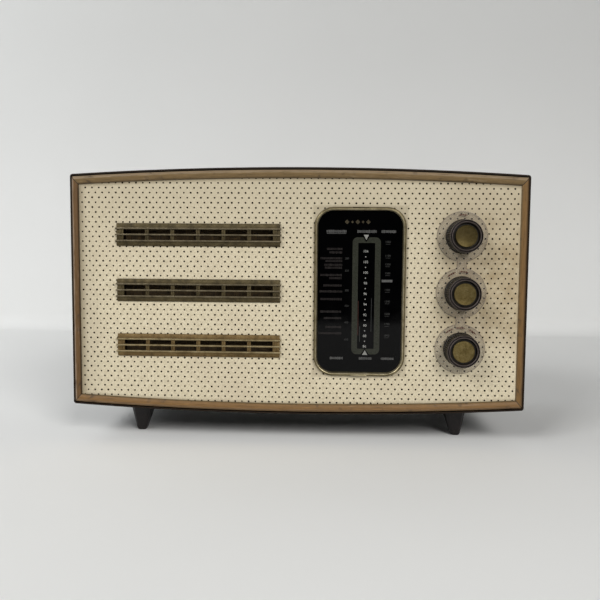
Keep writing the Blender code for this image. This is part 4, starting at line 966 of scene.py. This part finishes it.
def dial_scales():
    """Generic scales: numbers, dots and bars in the places where the print stands."""
    spread = random.Random(3)
    y = GLASS_LOW.y - 0.04 * MM
    bm = bmesh.new()
    x = LOOP_CENTRE[0] - 0.7 * MM
    top, bottom = 150.5 * MM, 76.2 * MM
    count = 19
    for i in range(count):
        z = top + (bottom - top) * i / (count - 1)
        if i % 2 == 0:
            figure(bm, str(104 - i), 2.7 * MM, x, z, y)
        else:
            mark(bm, x, z, 0.75 * MM, 0.75 * MM, y)
    piece("vhf_scale", bm, [dial_ink("ink_white", (0.42, 0.42, 0.40))])

    bm = bmesh.new()
    for i, z in enumerate((157.9, 147.2, 140.5, 133.6, 120.7, 111.7, 102, 94, 85)):
        figure(bm, str(1000 + 100 * i), 2.2 * MM, DIAL.x + 21.5 * MM, z * MM, y)
        mark(bm, DIAL.x + 21.5 * MM, (z - 1.7) * MM, 3.6 * MM, 0.25 * MM, y)
    for i, z in enumerate((145, 135.5, 120, 108, 95, 81.5)):
        figure(bm, str(200 + 50 * i), 2.1 * MM, DIAL.x - 10.0 * MM, z * MM, y)
    piece("side_scales", bm, [dial_ink("ink_grey", (0.055, 0.055, 0.053))])

    bm = bmesh.new()
    right = DIAL.x - 13.6 * MM
    lines = ((152.3, 12), (149.6, 10), (145, 17), (142.9, 13), (139.9, 14), (137.7, 13.5), (132, 17), (129.6, 10),
             (123.9, 14.5), (119.2, 17.5), (113.2, 17), (103.4, 17), (98.3, 14), (91.3, 12.5), (86.4, 18))
    for z, length in lines:
        word_bars(bm, right - length * MM, right, z * MM, 1.9 * MM, y, spread)
    piece("station_bars", bm, [dial_ink("ink_dim", (0.030, 0.026, 0.025))])

    bm = bmesh.new()
    for left, right in ((-26, -11), (-2.2, 13), (16.4, 28.2)):
        word_bars(bm, DIAL.x + left * MM, DIAL.x + right * MM, 165.9 * MM, 2.4 * MM, y, spread)
    mark(bm, DIAL.x - 18.3 * MM, 164.2 * MM, 15 * MM, 0.35 * MM, y)
    for left, right in ((-22.6, -12.1), (0.2, 10.2), (17.4, 27.4)):
        word_bars(bm, DIAL.x + left * MM, DIAL.x + right * MM, 66.8 * MM, 2.1 * MM, y, spread)
    mark(bm, DIAL.x + 21.2 * MM, 127.7 * MM, 8.3 * MM, 1.9 * MM, y)
    piece("band_bars", bm, [dial_ink("ink_mid", (0.115, 0.115, 0.112))])

    bm = bmesh.new()
    for i in range(5):
        cx, cz, r = DIAL.x + (i * 4.1 - 10.3) * MM, 173.2 * MM, (1.8 if i % 2 == 0 else 1.1) * MM
        bm.faces.new([bm.verts.new(p) for p in ((cx - r, y, cz), (cx, y, cz - r), (cx + r, y, cz), (cx, y, cz + r))])
    piece("dial_ornament", bm, [dial_ink("ink_gilt", (0.06, 0.05, 0.033))])


# Controls -------------------------------------------------------------------------------------

def flute(angle, depth):
    """Radius factor of a knob's ribbed side."""
    wave = 0.5 + 0.5 * math.cos(FLUTES * angle)
    return 1 - depth * (1 - wave ** 0.7)


def knob(kind, disc_light_level):
    """Flanged, ribbed moulding with a bead round its sunk, slightly hollow brass disc."""
    low, high = KNOBS[kind]
    profile = [(0.0, -4.5), (3.3, -4.5), (3.3, 0.0), (12.6, 0.0), (13.0, -0.15), (13.2, -0.5), (13.2, -1.6), (13.0, -2.0),
               (12.85, -2.2), (12.8, -2.5), (12.75, -4.5), (12.65, -9.0), (12.55, -13.2), (12.45, -13.9), (12.2, -14.5),
               (11.9, -14.75), (11.7, -14.6), (11.55, -14.0), (11.4, -13.0), (11.1, -13.0), (11.0, -14.6),
               (10.9, -15.1), (10.6, -15.4), (10.3, -15.1), (10.2, -14.6), (10.0, -13.2), (9.4, -12.6),
               (8.65, -12.6), (8.5, -13.3), (0.0, -13.3)]
    # The bead faces take the painted highlight.
    ribbed, wear_and_sheen = range(9, 14), (14, 20, 21, 22, 23)
    slots = [1 if i in wear_and_sheen else 0 for i in range(len(profile) - 1)]
    bm = bmesh.new()
    lathe(bm, [(r * MM, y * MM) for r, y in profile], FLUTES * 6, slots,
          lambda angle, index: flute(angle, 0.075) if index in ribbed else 1)
    where = (KNOB_X, high.y, KNOB_Z[kind])
    piece(f"{kind}_knob_moulding", bm, [MADE["knob"], MADE["ring"]], body=kind, at=where,
          replaces=[f"{kind}_knob"], sharp=45)
    hollow = [(r * MM, (-14.03 - 0.0066 * r * r) * MM) for r in (0.0, 1.0, 2.0, 3.0, 4.0, 5.0, 6.0, 7.0, 7.7)]
    rim = [(0.0, -13.6 * MM), (8.3 * MM, -13.6 * MM), (8.3 * MM, -14.2 * MM), (8.05 * MM, -14.45 * MM)]
    bm = bmesh.new()
    lathe(bm, rim + hollow[::-1], 96)
    disc = spun_brass(f"spun_brass_{kind}", disc_light_level)
    piece(f"{kind}_disc", bm, [disc], body=kind, at=where, replaces=[f"{kind}_knob_disc"])


def escutcheon_outline(radius, neck):
    """Three discs joined by two necks."""
    angle = math.degrees(math.asin(neck / 2 / radius))
    right = []
    for kind in ("band", "volume", "tuning"):
        start = -90 if kind == "band" else -90 + angle
        end = 90 if kind == "tuning" else 90 - angle
        right += arc((0, KNOB_Z[kind]), radius, start, end, 40)
    left = [(-x, z) for x, z in reversed(right[1:-1])]
    return [(x + KNOB_X, z) for x, z in right + left]


def escutcheon():
    """Clear plate under the knobs, with a turned edge and small printed setting marks."""
    front, back = PLATE_LOW.y, PLATE_HIGH.y
    radius, neck = 19.5 * MM, 7.6 * MM
    steps = [(0.0, back), (0.0, front + 0.35 * MM), (0.12 * MM, front + 0.1 * MM), (0.4 * MM, front),
             (0.75 * MM, front)]
    bm = bmesh.new()
    rings = [[(x, y, z) for x, z in escutcheon_outline(radius - inset, neck - 2 * inset)] for inset, y in steps]
    rows = skin(bm, rings, slots=[1, 1, 1, 1])
    bm.faces.new(rows[-1]).material_index = 0
    bm.faces.new(rows[0]).material_index = 0
    # The turned edge is a darker, denser copy of the clear plastic: painted shade round the rim.
    clear = [clear_plastic("clear_plate", 0.14, (0.31, 0.27, 0.235)),
             clear_plastic("clear_edge_shade", 0.38, (0.22, 0.18, 0.14))]
    plate = piece("escutcheon", bm, clear, replaces=["knob_escutcheon"])
    bm = bmesh.new()
    for z in KNOB_Z.values():
        slab(bm, arc((KNOB_X, z), 4.2 * MM, 0, 345, 23), front - MM, back + MM, slot=1)
    cut(plate, tool_object("spindle_holes", bm))
    bm = bmesh.new()
    groups = {"band": (120, 90, 56), "volume": (118, 84), "tuning": (90,)}
    for kind, angles in groups.items():
        for middle in angles:
            for i in range(-3, 4):
                angle = math.radians(middle + i * 3.4)
                x = KNOB_X + 16.6 * MM * math.cos(angle)
                z = KNOB_Z[kind] + 16.6 * MM * math.sin(angle)
                size = (0.55 if i % 2 else 0.85) * MM
                mark(bm, x, z, size, size * 1.5, front - 0.02 * MM)
    red = dial_ink("ink_red_brown", (0.11, 0.04, 0.03))
    piece("setting_marks", bm, [red])


# Back -----------------------------------------------------------------------------------------

def back_cover():
    """Fibreboard cover: two banks of rounded slots and a chamfered edge."""
    bm = bmesh.new()
    inset = LINING + 3.8 * MM
    steps = [(0.0, COVER_LOW.y), (0.0, COVER_HIGH.y - 0.4 * MM), (0.4 * MM, COVER_HIGH.y)]
    rings = [[(x, y, z) for x, z in cabinet_outline(inset + grow, MM)] for grow, y in steps]
    rows = skin(bm, rings)
    bm.faces.new(rows[0])
    bm.faces.new(rows[-1])
    cover = piece("ventilated_back", bm, [fibreboard()], replaces=["back_cover"])
    bm = bmesh.new()
    front, back = COVER_LOW.y - MM, COVER_HIGH.y + MM
    for first, columns in ((-140 * MM, 7), (22 * MM, 8)):
        for column in range(columns):
            for z in (84 * MM, 158 * MM):
                centre = (first + column * 14 * MM, z)
                slab(bm, rounded_rectangle(3.6 * MM, 34 * MM, 1.79 * MM, centre, 5), front, back)
    for low, high in (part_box("back_screw_left"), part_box("back_screw_right")):
        slab(bm, arc(((low.x + high.x) / 2, (low.z + high.z) / 2), 1.5 * MM, 0, 345, 23), front, back)
    for node, radius in (("cable_grommet", 6.3 * MM), ("aerial_socket", 6.0 * MM)):
        low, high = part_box(node)
        slab(bm, arc(((low.x + high.x) / 2, (low.z + high.z) / 2), radius, 0, 345, 23), front, back)
    cut(cover, tool_object("slots", bm))


def back_screws():
    """Domed brass screws with a driver slot."""
    for hand in ("left", "right"):
        low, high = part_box(f"back_screw_{hand}")
        centre = ((low.x + high.x) / 2, COVER_HIGH.y, (low.z + high.z) / 2)
        head = high.y - COVER_HIGH.y
        bm = bmesh.new()
        profile = [(0, -4.5 * MM), (1.0 * MM, -4.5 * MM), (1.1 * MM, 0), (2.1 * MM, 0.05 * MM),
                   (2.05 * MM, 0.4 * head), (1.6 * MM, 0.8 * head), (0.9 * MM, 0.97 * head), (0, head)]
        lathe(bm, profile, 32)
        screw = piece(f"screw_{hand}", bm, [brass(f"screw_{hand}_brass")], at=centre,
                      replaces=[f"back_screw_{hand}"])
        tool = bmesh.new()
        block(tool, (centre[0] - 3 * MM, centre[1] + 0.45 * head, centre[2] - 0.25 * MM),
              (centre[0] + 3 * MM, centre[1] + 2 * head, centre[2] + 0.25 * MM))
        cut(screw, tool_object("driver_slot", tool))


# Stage ----------------------------------------------------------------------------------------

def stage():
    """Pale table that ends in front of the camera's feet, and a pale wall behind."""
    bm = bmesh.new()
    wall_y, front_y, side = 0.64, -0.95, 1.6
    section = [(front_y, 0.0), (wall_y - 0.03, 0.0)] + [(wall_y - 0.03 + 0.03 * math.sin(a), 0.03 - 0.03 * math.cos(a))
                                                   for a in (0.4, 0.8, 1.2)] + [(wall_y, 0.03), (wall_y, 1.5)]
    skin(bm, [[(x, y, z) for y, z in section] for x in (-side, side)], closed=False)
    mesh = bpy.data.meshes.new("table_and_wall")
    bm.to_mesh(mesh)
    bm.free()
    # Painted shade: the wall darkens with height.
    mesh.materials.append(stage_paint("stage_white", (0.765, 0.77, 0.765), (0.60, 0.605, 0.60), 0.05, 0.62))
    mesh.shade_smooth()
    item = bpy.data.objects.new("table_and_wall", mesh)
    bpy.context.scene.collection.objects.link(item)


def lamp(name, place, target, size, power, colour=(1, 1, 1)):
    data = bpy.data.lights.new(name, "AREA")
    data.shape = "RECTANGLE"
    data.size, data.size_y = size
    data.energy = power
    data.color = colour
    item = bpy.data.objects.new(name, data)
    bpy.context.scene.collection.objects.link(item)
    item.location = place
    item.rotation_mode = "QUATERNION"
    item.rotation_quaternion = (Vector(target) - Vector(place)).to_track_quat("-Z", "Y")


def lights():
    lamp("window", (-1.3, -1.5, 1.5), (0, 0, 0.1), (1.1, 1.1), 29.5, (1.0, 0.995, 0.98))
    lamp("front", (0.9, -1.8, 1.2), (0, 0, 0.1), (0.9, 0.9), 31, (1.0, 0.985, 0.96))
    lamp("side", (-1.5, -0.1, 1.0), (0, 0.1, 0), (1.0, 1.0), 6.5, (0.95, 0.98, 1.0))
    lamp("behind", (-0.9, 0.42, 0.95), (0.0, 0.1, 0.05), (0.5, 0.5), 1.1, (0.95, 0.98, 1.0))
    world = bpy.data.worlds.new("room")
    bpy.context.scene.world = world
    world.use_nodes = True
    background = world.node_tree.nodes["Background"]
    background.inputs["Color"].default_value = (0.93, 0.96, 1.0, 1)
    background.inputs["Strength"].default_value = 0.018


def camera():
    """The viewpoint: a little right of centre and above, turned slightly to the left."""
    yaw, pitch, roll = math.radians(-2.31), math.radians(4.19), math.radians(0.425)
    ahead = Vector((math.sin(yaw) * math.cos(pitch), math.cos(yaw) * math.cos(pitch), -math.sin(pitch)))
    level = Vector((math.cos(yaw), -math.sin(yaw), 0))
    above = level.cross(ahead)
    right = level * math.cos(roll) + above * math.sin(roll)
    up = above * math.cos(roll) - level * math.sin(roll)
    data = bpy.data.cameras.new("camera")
    data.sensor_width, data.lens = 36, 39
    item = bpy.data.objects.new("camera", data)
    bpy.context.scene.collection.objects.link(item)
    turn = Matrix((right, up, -ahead)).transposed()
    item.matrix_world = Matrix.Translation((0.0232, -0.5723, 0.1494)) @ turn.to_4x4()
    bpy.context.scene.camera = item


dress_cad_nodes()
# ring is the knobs' painted bead highlight.
MADE = {"knob": black_moulding(), "ring": knob_bead_highlight()}
leathercloth_case()
moulding()
perforated_panel()
louvre_grilles()
dial_bezel()
dial_plate()
dial_loop()
dial_scales()
# Painted shade: each disc's metal dimmed by its own share, the tuning disc the most.
for kind, disc_light_level in (("tuning", 0.52), ("volume", 0.97), ("band", 1.07)):
    knob(kind, disc_light_level)
escutcheon()
back_cover()
back_screws()
stage()
lights()
camera()
bpy.context.scene.view_settings.view_transform = "Standard"
